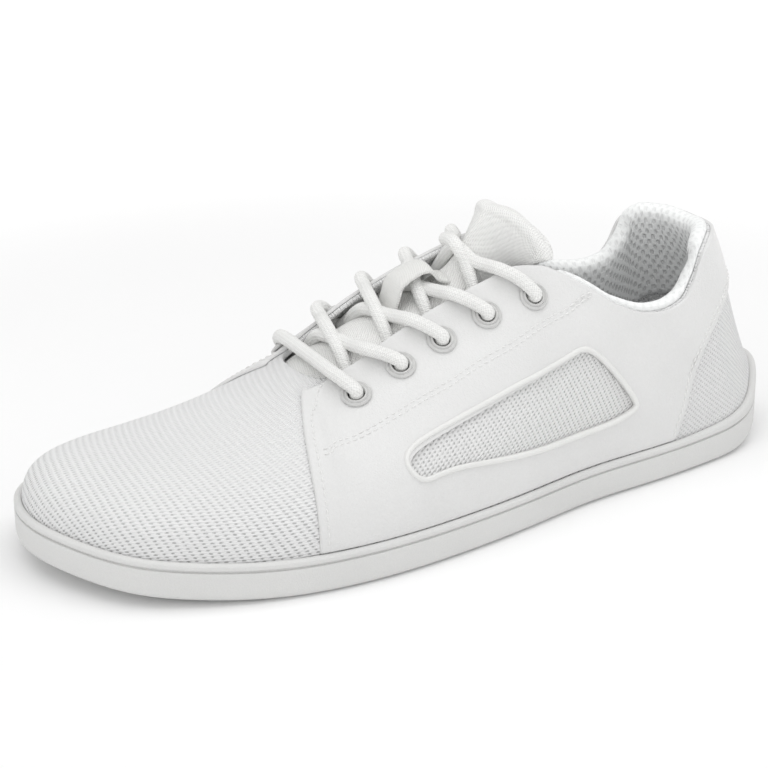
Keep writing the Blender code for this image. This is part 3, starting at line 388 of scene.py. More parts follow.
@dataclass(frozen=True)
class Finish:
    """A plain finish; the others add their own relief and colour."""

    name: str
    colour: tuple[float, float, float]
    roughness: float = 0.6
    relief: float = 0.0003

    def make(self) -> bpy.types.Material:
        """Build the material.

        Returns:
            The new material.
        """
        made = bpy.data.materials.new(self.name)
        made.use_nodes = True
        shader = made.node_tree.nodes["Principled BSDF"]
        shader.inputs["Roughness"].default_value = self.roughness
        kit = NodeKit(made.node_tree)
        colour, height = self.dress(kit)
        kit.feed(shader.inputs["Base Color"], colour)
        self.polish(kit, shader)
        if height is not None:
            inputs = {"Height": height, "Distance": self.relief, "Strength": 1.0}
            kit.feed(shader.inputs["Normal"], kit.node("ShaderNodeBump", None, inputs))
        return made

    def dress(self, kit: NodeKit) -> tuple[Any, Value | None]:
        """Colour and height of the surface."""
        return (*self.colour, 1.0), None

    def polish(self, kit: NodeKit, shader: Any) -> None:
        """Set sockets that are the same all over the surface."""

    def darker(self, share: float) -> tuple[float, float, float]:
        """The finish's colour at a share of its brightness."""
        red, green, blue = self.colour
        return red * share, green * share, blue * share


@dataclass(frozen=True)
class OpenKnit(Finish):
    """Knit cloth with staggered rows of slanting pores."""

    pitch: float = 0.0018
    row: float = 0.00115
    slant: float = 0.5
    pore: float = 0.5
    # two heights between which the pores fade out, darker below them
    closed: tuple[float, float] | None = None

    def dress(self, kit: NodeKit) -> tuple[Any, Value | None]:
        """Rows in the cloth's own coordinates; the pores are darker lower down and fade out
        between two heights.
        """
        u, v, _ = kit.cloth_place()
        p = (u + v * self.slant) * (TURN / self.pitch)
        q = v * (math.pi / self.row)
        lattice = p.cosine() * q.cosine()
        yarn = kit.noise(0.0008, 1.0)
        pores = (yarn * 1.2 - 0.6 - lattice).rise(0.25, 1.0)
        # pores drawn darker low on the sides and faint above the second height
        if self.closed is not None:
            _, _, z = kit.split(kit.place())
            pores = pores * (1.0 - z.rise(*self.closed) * 0.88)
        height = lattice * 0.8 + yarn * 0.5 - pores * 0.2
        return kit.mix(pores, self.colour, self.darker(self.pore)), height


@dataclass(frozen=True)
class Leather(Finish):
    """Smooth leather with a fine grain and faint pores."""

    grain: float = 0.0006

    def dress(self, kit: NodeKit) -> tuple[Any, Value | None]:
        """Cells of the grain, with slow changes of tone."""
        cells = kit.cells(self.grain)
        slow = kit.noise(0.022)
        fine = kit.noise(0.0011, 3.0)
        height = cells * 0.55 + fine * 0.6 + slow * 2.2
        tone = slow.rise(0.25, 0.75) * 0.6 + fine.rise(0.35, 0.75) * 0.4
        return kit.mix(tone, self.darker(0.955), self.colour), height


@dataclass(frozen=True)
class Rubber(Finish):
    """Matt moulded rubber with a fine even texture."""

    grain: float = 0.0005

    def dress(self, kit: NodeKit) -> tuple[Any, Value | None]:
        """Speckled height with a faint change of tone."""
        fine = kit.noise(self.grain)
        slow = kit.noise(0.03)
        tone = slow.rise(0.25, 0.75) * 0.5 + fine.rise(0.3, 0.7) * 0.5
        return kit.mix(tone, self.darker(0.94), self.colour), fine


@dataclass(frozen=True)
class SpacerMesh(Finish):
    """Open lining of short upright loops with hollows between them."""

    pitch: float = 0.0037
    row: float = 0.0024
    # painted glow: strength of the white emission that lifts the shaded lining
    glow: float = 0.06
    roll: tuple[float, float] = (0.037, 0.052)

    def polish(self, kit: NodeKit, shader: Any) -> None:
        """Painted light: an even white glow that brightens the lining where it lies in shade."""
        shader.inputs["Emission Color"].default_value = (1.0, 1.0, 1.0, 1.0)
        shader.inputs["Emission Strength"].default_value = self.glow

    def dress(self, kit: NodeKit) -> tuple[Any, Value | None]:
        """Rows of hollows, every other row moved half a pitch, faint on the roll."""
        u, v, _ = kit.cloth_place()
        lattice = (u * (TURN / self.pitch)).cosine() * (v * (math.pi / self.row)).cosine()
        ribs = (u * (4.0 * TURN / self.pitch) + v * 900.0).sine()
        yarn = kit.noise(0.0008, 1.0)
        holes = (lattice + ribs * 0.15 + (yarn - 0.5) * 0.8).rise(0.0, 0.80)
        holes = holes * (v.rise(*self.roll) * 0.75 + 0.25)
        height = yarn * 0.4 - holes
        return kit.mix(holes, self.colour, self.darker(0.72)), height


@dataclass(frozen=True)
class Twill(Finish):
    """Fine woven cloth with slanting lines."""

    pitch: float = 0.0011

    def dress(self, kit: NodeKit) -> tuple[Any, Value | None]:
        """Slanting threads broken by cross threads."""
        u, v, _ = kit.cloth_place()
        turn = TURN / self.pitch
        lines = (u * turn + v * (0.9 * turn)).sine()
        cross = (u * (0.9 * turn) - v * (1.3 * turn)).sine()
        yarn = kit.noise(0.0012)
        height = lines * 0.45 + cross * 0.20 + yarn * 0.5
        gaps = (0.0 - height).rise(-0.15, 0.45)
        return kit.mix(gaps, self.colour, self.darker(0.80)), height


@dataclass(frozen=True)
class Braid(Finish):
    """Round braided cord: two families of strands that wind both ways."""

    strands: int = 12
    lay: float = 0.0046

    def dress(self, kit: NodeKit) -> tuple[Any, Value | None]:
        """Strands in the cord's own coordinates, turns and metres along."""
        u, v, _ = kit.cloth_place()
        round_it = u * (TURN * self.strands / 2.0)
        along = v * (TURN / self.lay * self.strands / 4.0)
        left = (round_it + along).sine()
        right = (round_it - along).sine()
        weave = left * right
        threads = (v * (TURN / 0.00055) + u * 30.0).sine()
        height = weave * 0.6 + threads * 0.12
        gaps = (0.0 - weave.size()).rise(-0.25, 0.0)
        return kit.mix(gaps, self.colour, self.darker(0.80)), height


@dataclass(frozen=True)
class Enamel(Finish):
    """Painted metal, slightly glossy."""

    def dress(self, kit: NodeKit) -> tuple[Any, Value | None]:
        """Faint unevenness of the paint."""
        slow = kit.noise(0.002)
        return kit.mix(slow.rise(0.3, 0.7), self.darker(0.92), self.colour), slow

    def polish(self, kit: NodeKit, shader: Any) -> None:
        """Thin clear coat."""
        shader.inputs["Coat Weight"].default_value = 0.25
        shader.inputs["Coat Roughness"].default_value = 0.25


@dataclass(frozen=True)
class FloorPaint(Finish):
    """Pale seamless studio floor that glows away from the shoe, so its edge vanishes."""

    glow: tuple[float, float] = (0.01, 1.0)

    def polish(self, kit: NodeKit, shader: Any) -> None:
        """Weak glow near the shoe and full glow far from it."""
        x, y, _ = kit.split(kit.place())
        away = (x * x + y * y).rise(0.06, 0.50)
        near, far = ((share,) * 3 for share in self.glow)
        kit.feed(shader.inputs["Emission Color"], kit.mix(away, near, far))
        shader.inputs["Emission Strength"].default_value = 1.0


VAMP_MESH = OpenKnit("vamp_mesh", (0.86, 0.86, 0.86), 0.85, 0.00034, 0.0021, 0.00105, 0.9, 0.48,
                     (0.016, 0.046))
HEEL_MESH = OpenKnit("heel_mesh", (0.80, 0.80, 0.80), 0.85, 0.00025, 0.0016, 0.0009, 0.3, 0.72)
WINDOW_MESH = OpenKnit("window_mesh", (0.82, 0.82, 0.815), 0.85, 0.00030, 0.0020, 0.0010, 0.6,
                       0.58)
QUARTER = Leather("quarter_leather", (0.755, 0.755, 0.75), 0.48, 0.00013)
EDGE_LEATHER = Leather("edge_leather", (0.80, 0.80, 0.785), 0.45, 0.00006)
SOLE_RUBBER = Rubber("sole_rubber", (0.72, 0.72, 0.71), 0.66, 0.00010)
BOARD_FOAM = Rubber("board_foam", (0.72, 0.72, 0.70), 0.8, 0.00010)
LINING = SpacerMesh("collar_spacer_mesh", (0.88, 0.89, 0.885), 0.88, 0.0005)
FOOTBED = Twill("footbed_cloth", (0.55, 0.56, 0.57), 0.9, 0.0002)
TONGUE_CLOTH = Twill("tongue_twill", (0.90, 0.90, 0.885), 0.85, 0.00018)
TAPE = Twill("keeper_tape", (0.82, 0.82, 0.80), 0.8, 0.00012, 0.0008)
CORD = Braid("lace_braid", (0.88, 0.88, 0.865), 0.75, 0.00018)
THREAD = Finish("sewing_thread", (0.80, 0.80, 0.79), 0.6)
EYELET_PAINT = Enamel("eyelet_enamel", (0.64, 0.64, 0.63), 0.38, 0.00003)
FLOOR_PAINT = FloorPaint("studio_floor", (0.95, 0.95, 0.95), 0.9)


@dataclass(frozen=True)
class Last:
    """The shoe's own form: outline, sole levels and the ribs of the upper."""

    length: float = 0.285
    ball: float = 0.104
    heel: float = 0.072
    toe_spring: float = 0.0065
    heel_lift: float = 0.0065
    arch: float = 0.002
    side_height: float = 0.0107
    heel_side_rise: float = 0.0022
    toe_height: float = 0.0372
    vamp_height: float = 0.0535
    instep_height: float = 0.080
    ankle_height: float = 0.0595
    heel_height: float = 0.0805
    tongue_height: float = 0.1005
    collar_width: float = 0.057
    throat_gap: float = 0.026
    bead_height: float = 0.0025
    bead_width: float = 0.0028
    heel_bead_rise: float = 0.0029
    gap: float = 0.0003
    centre_shift: float = -0.0175
    ridge_start: float = 0.668
    ridge_end: float = 0.860
    throat_foot: float = 0.720
    fan_foot: float = 0.965

    def __post_init__(self) -> None:
        """Fit the curves through the tables."""
        set_it = object.__setattr__
        set_it(self, "x_loop", self._outline_loop())
        set_it(self, "top", self._top_rows())
        set_it(self, "side", self._side_rows())

    def _outline_loop(self) -> Loop:
        """Closed curve of x round the outline."""
        rows = np.array(OUTLINE)
        angles = angle_of(rows[:, 0])
        width = self.heel + (self.ball - self.heel) * smooth(*HEEL_SPAN, rows[:, 0])
        knots = np.concatenate([[0.0], angles, [math.pi], TURN - angles[::-1]])
        medial = -(rows[:, 2] * width)[::-1]
        values = np.concatenate([[0.0], rows[:, 1] * width, [TOE_TIP * self.ball], medial])
        return Loop(knots, values + self.centre_shift * self.ball)

    def _top_rows(self) -> Rows:
        """Top edge of the upper."""
        halves = {"collar": self.collar_width, "throat": self.throat_gap}
        heights = {"heel": self.heel_height, "ankle": self.ankle_height,
                   "instep": self.instep_height, "vamp": self.vamp_height}
        keys = angle_of([row[0] for row in TOP_EDGE])
        columns = {
            "top": [row[1] for row in TOP_EDGE],
            "half": [row[2] * halves[row[3]] for row in TOP_EDGE],
            "height": [row[4] * heights[row[5]] for row in TOP_EDGE],
            "rise": [row[6] * self.instep_height for row in TOP_EDGE],
            "pitch": [row[7] for row in TOP_EDGE],
        }
        return Rows(keys, columns, ("top", "height", "rise", "pitch"))

    def _side_rows(self) -> Rows:
        """Lean and handles of the ribs."""
        table = np.array(SIDES)
        names = ("lean", "foot", "head", "medial_foot", "medial_head")
        columns = {name: table[:, i + 1] for i, name in enumerate(names)}
        return Rows(angle_of(table[:, 0]), columns, names)

    def outline(self, angle: Any, inset: Any = 0.0) -> tuple[Array, Array]:
        """Plan points on the outline, inset along its normals.

        Args:
            angle: angles round the outline.
            inset: distance inward, one for all or one for each.

        Returns:
            The points and the outward normals, (count, 2) each.
        """
        angle = np.atleast_1d(np.asarray(angle, float))
        step = 1e-4

        def place(a: Array) -> Array:
            """Point on the outline."""
            return np.stack([self.x_loop(a), self.length * (0.5 - share_of(a))], -1)

        run = place(angle + step) - place(angle - step)
        normal = unit(np.stack([-run[:, 1], run[:, 0]], -1))
        return place(angle) - normal * np.reshape(inset, (-1, 1)), normal

    def ground(self, share: Any) -> Array:
        """Height of the sole's underside."""
        share = np.asarray(share, float)
        toe = self.toe_spring * np.clip((share - 0.72) / 0.28, 0, 1) ** 2
        heel = self.heel_lift * np.clip((0.14 - share) / 0.14, 0, 1) ** 2
        return toe + heel

    def heel_part(self, share: Any) -> Array:
        """1 at the back of the heel, falling to 0 in front of it."""
        return np.clip((0.2 - np.asarray(share, float)) / 0.2, 0, 1) ** 1.5

    def groove_level(self, share: Any) -> Array:
        """Height of the groove round the sole."""
        return self.ground(share) + self.side_height + self.heel_side_rise * self.heel_part(share)

    def bead_level(self, share: Any) -> Array:
        """Height of the bead's top."""
        rise = self.bead_height + self.heel_bead_rise * self.heel_part(share)
        return self.groove_level(share) + rise

    def axis_x(self, share: Any) -> Array:
        """Centre line of the instep."""
        table = np.array(AXIS)
        return self.ball * (np.interp(share, table[:, 0], table[:, 1]) + self.centre_shift)

    def ridge_height(self, share: Any) -> Array:
        """Height of the vamp's ridge."""
        u = (share - self.ridge_start) / (self.ridge_end - self.ridge_start)
        fall = self.toe_height - self.vamp_height
        return self.vamp_height + fall * (1.35 * u - 0.35 * u * u)

    def instep_slope(self, share: Any) -> Array:
        """Rise of the instep toward the ankle, per unit of y."""
        span = self.ridge_end - self.ridge_start
        u = np.clip((share - self.ridge_start) / span, 0, 1)
        fall = (self.vamp_height - self.toe_height) * (1.35 - 0.70 * u) / span
        return fall / self.length * smooth(0.32, 0.42, share)

    def points(self, angle: Any, share: Any) -> Array:
        """Points of the upper's outer surface.

        Args:
            angle: angles round the outline, any shape.
            share: shares of the ribs, the same shape.

        Returns:
            The points, shape + (3,).
        """
        angle, part = np.broadcast_arrays(np.asarray(angle, float), np.asarray(share, float))
        shape = angle.shape
        angle = angle.ravel() % TURN
        u = part.ravel()[:, None]
        lateral = angle <= math.pi
        side = np.where(lateral, 1.0, -1.0)
        half_turn = np.where(lateral, angle, TURN - angle)
        place = share_of(half_turn)
        plan, normal = self.outline(angle, self.bead_width + self.gap)
        foot = np.concatenate([plan, self.bead_level(place)[:, None]], 1)
        vamp = place >= self.throat_foot - 1e-9
        way = np.clip((place - self.throat_foot) / (self.fan_foot - self.throat_foot), 0, 1)
        span = self.ridge_end - self.ridge_start
        ridge = self.ridge_start + span * (1.0 - (1.0 - way) ** 1.5)
        top = np.where(vamp, ridge, self.top.at(half_turn, "top"))
        half = np.where(vamp, 0.0, self.top.at(half_turn, "half"))
        rise = np.where(lateral, 0.0, self.top.at(half_turn, "rise"))
        edge = self.top.at(half_turn, "height") + rise
        height = np.where(vamp, self.ridge_height(top), edge)
        y = self.length * (0.5 - top)
        head = np.stack([self.axis_x(top) + side * half, y, height], 1)
        reach = np.linalg.norm(head - foot, axis=1)
        out = unit(foot[:, :2] - head[:, :2] + 0.07 * self.length * normal)
        pitch = np.radians(np.where(vamp, 0.0, self.top.at(half_turn, "pitch")))
        fall = -np.sin(pitch) + self.instep_slope(top) * out[:, 1]
        head_way = unit(np.concatenate([out * np.cos(pitch)[:, None], fall[:, None]], 1))
        lean = np.radians(self.side.at(half_turn, "lean"))
        foot_way = np.concatenate([normal * np.sin(lean)[:, None], np.cos(lean)[:, None]], 1)
        arms = []
        for end in ("foot", "head"):
            medial = self.side.at(half_turn, "medial_" + end)
            arms.append(np.where(lateral, self.side.at(half_turn, end), medial) * reach)
        near_foot = foot + foot_way * arms[0][:, None]
        near_head = head + head_way * arms[1][:, None]
        curve = ((1 - u) ** 3 * foot + 3 * (1 - u) ** 2 * u * near_foot
                 + 3 * (1 - u) * u**2 * near_head + u**3 * head)
        return curve.reshape(shape + (3,))

    def lifted(self, angle: Any, share: Any, lift: Any = 0.0) -> tuple[Array, Array]:
        """Surface points moved out along the surface's own normals.

        Args:
            angle: angles round the outline.
            share: shares of the ribs.
            lift: distance outward, one for all or one for each.

        Returns:
            The moved points and the outward normals.
        """
        angle, share = np.broadcast_arrays(np.asarray(angle, float), np.asarray(share, float))
        held = np.clip(share, 0.0, 0.985)
        step = 0.004
        ahead = self.points(angle + step, held) - self.points(angle - step, held)
        low, high = np.clip(share - step, 0, 1), np.clip(share + step, 0, 1)
        along = self.points(angle, high) - self.points(angle, low)
        normal = unit(np.cross(along, ahead))
        return self.points(angle, share) + normal * np.asarray(lift)[..., None], normal

    def share_below(self, angle: Any, distance: Any) -> Array:
        """Share of each rib at a distance below its top edge."""
        angle = np.atleast_1d(np.asarray(angle, float))
        distance = np.broadcast_to(np.asarray(distance, float), angle.shape)
        steps = np.linspace(1.0, 0.0, 240)
        points = self.points(angle[:, None], steps[None, :])
        run = np.linalg.norm(np.diff(points, axis=1), axis=2).cumsum(1)
        run = np.concatenate([np.zeros((len(angle), 1)), run], 1)
        return np.array([np.interp(d, r, steps) for d, r in zip(distance, run)])

    def angle_on(self, share: Any, side: Side) -> Array:
        """Angle for a share of the length on one side."""
        angle = angle_of(share)
        return angle if side is Side.LATERAL else TURN - angle

    def tree(self, lift: float) -> BVHTree:
        """Search tree of the upper's surface moved out by a distance."""
        angles = turns(480)
        shares = np.linspace(0.0, 1.0, 70)
        return tree_of(self.lifted(angles[:, None], shares[None, :], lift)[0], True)


OUTLINE = (
    (0.030, 0.250, 0.275),
    (0.080, 0.430, 0.430),
    (0.150, 0.507, 0.493),
    (0.250, 0.520, 0.450),
    (0.350, 0.485, 0.374),
    (0.450, 0.490, 0.345),
    (0.550, 0.512, 0.368),
    (0.650, 0.534, 0.434),
    (0.720, 0.525, 0.473),
    (0.800, 0.483, 0.499),
    (0.880, 0.396, 0.487),
    (0.940, 0.281, 0.425),
    (0.980, 0.106, 0.308),
)
TOE_TIP = -0.100
HEEL_SPAN = (0.15, 0.55)
AXIS = ((0.0, 0.0), (0.20, 0.0), (0.40, -0.02), (0.67, -0.055), (0.86, -0.10), (1.0, -0.11))
TOP_EDGE = (
    (0.000, 0.095, 0.00, "collar", 1.000, "heel", 0.000, 64),
    (0.030, 0.103, 0.193, "collar", 1.010, "heel", 0.000, 66),
    (0.065, 0.125, 0.342, "collar", 1.005, "heel", 0.000, 72),
    (0.100, 0.148, 0.421, "collar", 0.950, "heel", 0.000, 76),
    (0.130, 0.163, 0.439, "collar", 0.840, "heel", 0.000, 78),
    (0.155, 0.180, 0.460, "collar", 1.034, "ankle", 0.006, 78),
    (0.190, 0.210, 0.482, "collar", 1.000, "ankle", 0.012, 78),
    (0.230, 0.240, 0.500, "collar", 1.017, "ankle", 0.012, 77),
    (0.280, 0.280, 0.474, "collar", 0.812, "instep", 0.012, 73),
    (0.320, 0.310, 0.430, "collar", 0.888, "instep", 0.012, 66),
    (0.360, 0.340, 0.342, "collar", 0.956, "instep", 0.018, 57),
    (0.390, 0.365, 0.600, "throat", 0.994, "instep", 0.035, 50),
    (0.420, 0.395, 0.512, "throat", 1.000, "instep", 0.050, 46),
    (0.460, 0.430, 0.496, "throat", 0.963, "instep", 0.062, 44),
    (0.520, 0.495, 0.508, "throat", 0.888, "instep", 0.062, 42),
    (0.590, 0.560, 0.550, "throat", 0.795, "instep", 0.050, 38),
    (0.650, 0.615, 0.575, "throat", 1.045, "vamp", 0.032, 31),
    (0.690, 0.650, 0.480, "throat", 0.980, "vamp", 0.012, 23),
    (0.710, 0.664, 0.280, "throat", 0.992, "vamp", 0.003, 12),
    (0.720, 0.668, 0.000, "throat", 1.000, "vamp", 0.000, 0),
)
SIDES = (
    (0.00, -21, 0.33, 0.30, 0.33, 0.30),
    (0.06, -16, 0.33, 0.30, 0.33, 0.30),
    (0.12, -6, 0.35, 0.30, 0.35, 0.30),
    (0.20, 2, 0.36, 0.30, 0.36, 0.30),
    (0.35, 4, 0.36, 0.32, 0.36, 0.32),
    (0.50, 6, 0.34, 0.34, 0.34, 0.34),
    (0.65, 7, 0.34, 0.32, 0.32, 0.32),
    (0.80, 6, 0.38, 0.30, 0.32, 0.22),
    (0.92, 4, 0.44, 0.30, 0.36, 0.20),
    (1.00, 4, 0.42, 0.28, 0.42, 0.28),
)
QUARTER_FRONT = (
    (0.00, 0.739), (0.33, 0.738), (0.53, 0.734), (0.68, 0.727), (0.76, 0.722), (0.86, 0.711),
    (0.93, 0.698), (1.00, 0.674),
)
HEEL_SEAM = (
    (0.000, 0.680), (0.030, 0.640), (0.100, 0.580), (0.139, 0.530), (0.161, 0.450),
    (0.178, 0.330), (0.191, 0.200), (0.201, 0.100), (0.210, 0.015),
)
CREASES = (
    (0.665, 0.012, 0.38, 0.20, 0.00, -0.00025),
    (0.625, 0.014, 0.30, 0.16, 0.00, 0.00015),
    (0.335, 0.035, 0.90, 0.08, 0.00, -0.00035),
    (0.115, 0.020, 0.62, 0.20, 0.10, -0.00030),
)
WINDOW = (
    (0.610, 0.440), (0.575, 0.490), (0.500, 0.551), (0.442, 0.598), (0.377, 0.645),
    (0.345, 0.667), (0.322, 0.625), (0.293, 0.500), (0.275, 0.400), (0.282, 0.362),
    (0.320, 0.336), (0.380, 0.331), (0.430, 0.332), (0.500, 0.350), (0.560, 0.364),
    (0.597, 0.354), (0.612, 0.390),
)
TONGUE = (
    (0.705, 0.466, 0.62, 0.00, 0.16, 0.00),
    (0.670, 0.503, 0.70, 0.00, 0.26, 0.00),
    (0.640, 0.545, 0.76, 0.00, 0.34, 0.00),
    (0.600, 0.597, 0.80, 0.00, 0.42, 0.00),
    (0.560, 0.644, 0.80, 0.00, 0.44, 0.00),
    (0.520, 0.690, 0.78, 0.02, 0.50, 0.00),
    (0.487, 0.735, 0.70, 0.08, 0.54, 0.00),
    (0.462, 0.768, 0.58, 0.20, 0.54, 0.00),
    (0.447, 0.815, 0.44, 0.34, 0.48, 0.02),
    (0.432, 0.872, 0.41, 0.42, 0.40, 0.05),
    (0.418, 0.930, 0.50, 0.46, 0.30, 0.08),
    (0.408, 0.972, 0.67, 0.54, 0.31, 0.10),
    (0.401, 1.000, 0.69, 0.52, 0.38, 0.10),
)
BOARD_EDGE = ((0.0, 0.0, 0.0), (0.0, 0.7, 1.0), (0.25, 1.0, 1.0), (0.8, 1.0, 0.8), (2.0, 1.0, 0.0))
GROOVE = (
    (-1.25, 0.0), (-1.0, 0.06), (-0.8, 0.35), (-0.65, 0.9), (0.0, 1.0), (0.65, 0.9),
    (0.8, 0.35), (1.0, 0.06), (1.25, 0.0),
)
KEEPER = (
    (0.540, 0.0), (0.534, 1.0), (0.527, 2.0), (0.516, 2.15), (0.506, 2.15), (0.494, 1.9),
    (0.478, 0.5), (0.466, 0.0),
)
EYELET_FEET = (0.657, 0.594, 0.534, 0.476, 0.410)


def grid_faces(rows: int, columns: int, wrap: bool) -> list[tuple[int, int, int, int]]:
    """Quads of a grid of points, row by row.

    Args:
        rows: number of rows.
        columns: points in each row.
        wrap: whether the last row joins the first.

    Returns:
        Corner numbers of each quad.
    """
    faces = []
    for i in range(rows if wrap else rows - 1):
        j = (i + 1) % rows
        for k in range(columns - 1):
            faces.append((i * columns + k, j * columns + k,
                          j * columns + k + 1, i * columns + k + 1))
    return faces


def tree_of(grid: Array, wrap: bool) -> BVHTree:
    """Search tree of a grid of points."""
    points = [Vector(point) for point in grid.reshape(-1, 3)]
    return BVHTree.FromPolygons(points, grid_faces(*grid.shape[:2], wrap))


def placed(name: str, data: Any) -> bpy.types.Object:
    """New object in the scene."""
    item = bpy.data.objects.new(name, data)
    bpy.context.scene.collection.objects.link(item)
    return item


def corner_points(mesh: bpy.types.Mesh) -> Array:
    """Point number of each face corner."""
    corners = np.zeros(len(mesh.loops), np.int32)
    mesh.loops.foreach_get("vertex_index", corners)
    return corners


def found_below(tree: BVHTree, x: float, y: float) -> Vector | None:
    """Highest place of a surface at x and y, or None beside it."""
    return tree.ray_cast(Vector((x, y, 0.2)), Vector((0.0, 0.0, -1.0)))[0]


def make_piece(name: str, points: Array, faces: Sequence[Sequence[int]],
               finishes: Sequence[Finish], cloth: Array | None = None) -> bpy.types.Object:
    """Object from points and faces.

    Args:
        name: name of the piece.
        points: its points.
        faces: corner numbers of its faces.
        finishes: its materials.
        cloth: coordinates over the surface for each point, in metres.

    Returns:
        The new object, shaded smooth.
    """
    mesh = bpy.data.meshes.new(name)
    mesh.from_pydata(np.asarray(points, float).reshape(-1, 3).tolist(), [], faces)
    if cloth is not None:
        layer = mesh.uv_layers.new(name="cloth")
        flat = np.asarray(cloth, np.float32).reshape(-1, 2)[corner_points(mesh)]
        layer.data.foreach_set("uv", flat.ravel())
    mesh.validate()
    for finish in finishes:
        mesh.materials.append(material_of(finish))
    mesh.shade_smooth()
    return placed(name, mesh)


MADE: dict[str, bpy.types.Material] = {}


def material_of(finish: Finish) -> bpy.types.Material:
    """The finish's material, built once."""
    if finish.name not in MADE:
        MADE[finish.name] = finish.make()
    return MADE[finish.name]


def tidy_mesh(item: bpy.types.Object, merge: float = 1e-5) -> None:
    """Merge doubled points and turn all faces outward."""
    work = bmesh.new()
    work.from_mesh(item.data)
    bmesh.ops.remove_doubles(work, verts=work.verts, dist=merge)
    bmesh.ops.dissolve_degenerate(work, edges=work.edges, dist=1e-6)
    bmesh.ops.recalc_face_normals(work, faces=work.faces)
    work.to_mesh(item.data)
    work.free()
    item.data.shade_smooth()


def face_outward(item: bpy.types.Object) -> None:
    """Turn all faces outward and leave every point as it is."""
    work = bmesh.new()
    work.from_mesh(item.data)
    bmesh.ops.recalc_face_normals(work, faces=work.faces)
    work.to_mesh(item.data)
    work.free()


def object_of(work: bmesh.types.BMesh, name: str) -> bpy.types.Object:
    """Object without a finish from a work mesh, which is freed."""
    bmesh.ops.recalc_face_normals(work, faces=work.faces)
    mesh = bpy.data.meshes.new(name)
    work.to_mesh(mesh)
    work.free()
    return placed(name, mesh)


def tube_faces(rows: int, columns: int) -> list[Sequence[int]]:
    """Faces of a closed tube whose last column repeats the first."""
    faces: list[Sequence[int]] = list(grid_faces(rows, columns, False))
    start = (rows - 1) * columns
    faces.append(list(range(columns - 1)))
    faces.append([start + k for k in range(columns - 2, -1, -1)])
    return faces


def apply_all(item: bpy.types.Object) -> None:
    """Turn the object's modifiers into its mesh."""
    graph = bpy.context.evaluated_depsgraph_get()
    mesh = bpy.data.meshes.new_from_object(item.evaluated_get(graph))
    item.modifiers.clear()
    item.data = mesh


def cut_with(item: bpy.types.Object, cutters: Sequence[bpy.types.Object]) -> None:
    """Cut the cutters out of the item, then remove them."""
    for cutter in cutters:
        change = item.modifiers.new("cut", "BOOLEAN")
        change.solver = "EXACT"
        change.operation = "DIFFERENCE"
        change.object = cutter
    apply_all(item)
    for cutter in cutters:
        bpy.data.objects.remove(cutter, do_unlink=True)


def seat(item: bpy.types.Object, nodes: Sequence[str] = ()) -> None:
    """Let a piece ride with the shoe and what it stands for.

    Args:
        item: the piece.
        nodes: CAD nodes that it replaces.
    """
    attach(item, BODY)
    if nodes:
        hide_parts(*nodes)
    LOG.info("%s: %d points", item.name, len(item.data.vertices))


def distances(points: Array, axis: int) -> Array:
    """Running length of a grid of points along one of its axes."""
    run = np.linalg.norm(np.diff(points, axis=axis), axis=-1).cumsum(axis)
    first = np.zeros_like(np.take(run, [0], axis=axis))
    return np.concatenate([first, run], axis)


def cloth_of(grid: Array) -> Array:
    """Running lengths along both ways of a grid, in metres."""
    return np.stack([distances(grid, 0), distances(grid, 1)], -1)


def closed_shell(name: str, outer: Array, inner: Array, finish: Finish,
                 cloth: Array) -> bpy.types.Object:
    """Closed piece from an outer and an inner sheet of the same grid.

    Args:
        name: name of the piece.
        outer: outer points, (rows, columns, 3).
        inner: inner points, the same shape.
        finish: its material.
        cloth: coordinates over the surface, (rows, columns, 2).

    Returns:
        The new object.
    """
    rows, columns = outer.shape[:2]
    count = rows * columns
    faces: list[Sequence[int]] = list(grid_faces(rows, columns, False))
    faces += [tuple(count + k for k in reversed(face)) for face in faces]
    rim = list(range(columns))
    rim += [i * columns + columns - 1 for i in range(1, rows)]
    rim += [(rows - 1) * columns + k for k in range(columns - 2, -1, -1)]
    rim += [i * columns for i in range(rows - 2, 0, -1)]
    for a, b in zip(rim, rim[1:] + rim[:1]):
        faces.append((a, b, count + b, count + a))
    points = np.concatenate([outer.reshape(-1, 3), inner.reshape(-1, 3)])
    both = np.concatenate([cloth.reshape(-1, 2), cloth.reshape(-1, 2)])
    item = make_piece(name, points, faces, [finish], both)
    face_outward(item)
    item.data.shade_smooth()
    return item


def edge_round(distance: Array, radius: float) -> Array:
    """Share of the full thickness at a distance from a rounded edge."""
    u = np.clip(distance / radius, 0.0, 1.0)
    return np.sqrt(np.maximum(1.0 - (1.0 - u) ** 2, 0.0))


def marks_with_edges(count: int, length: float, radius: float) -> Array:
    """Shares from 0 to 1, close together at both ends for a rounded edge.

    Args:
        count: number of even steps between the ends.
        length: length that the shares refer to.
        radius: radius of the edge.

    Returns:
        The rising shares.
    """
    ends = np.array([0.0, 0.06, 0.2, 0.45, 0.8]) * radius / length
    inner = np.linspace(radius * 1.1 / length, 1.0 - radius * 1.1 / length, count)
    return np.concatenate([ends, inner, 1.0 - ends[::-1]])


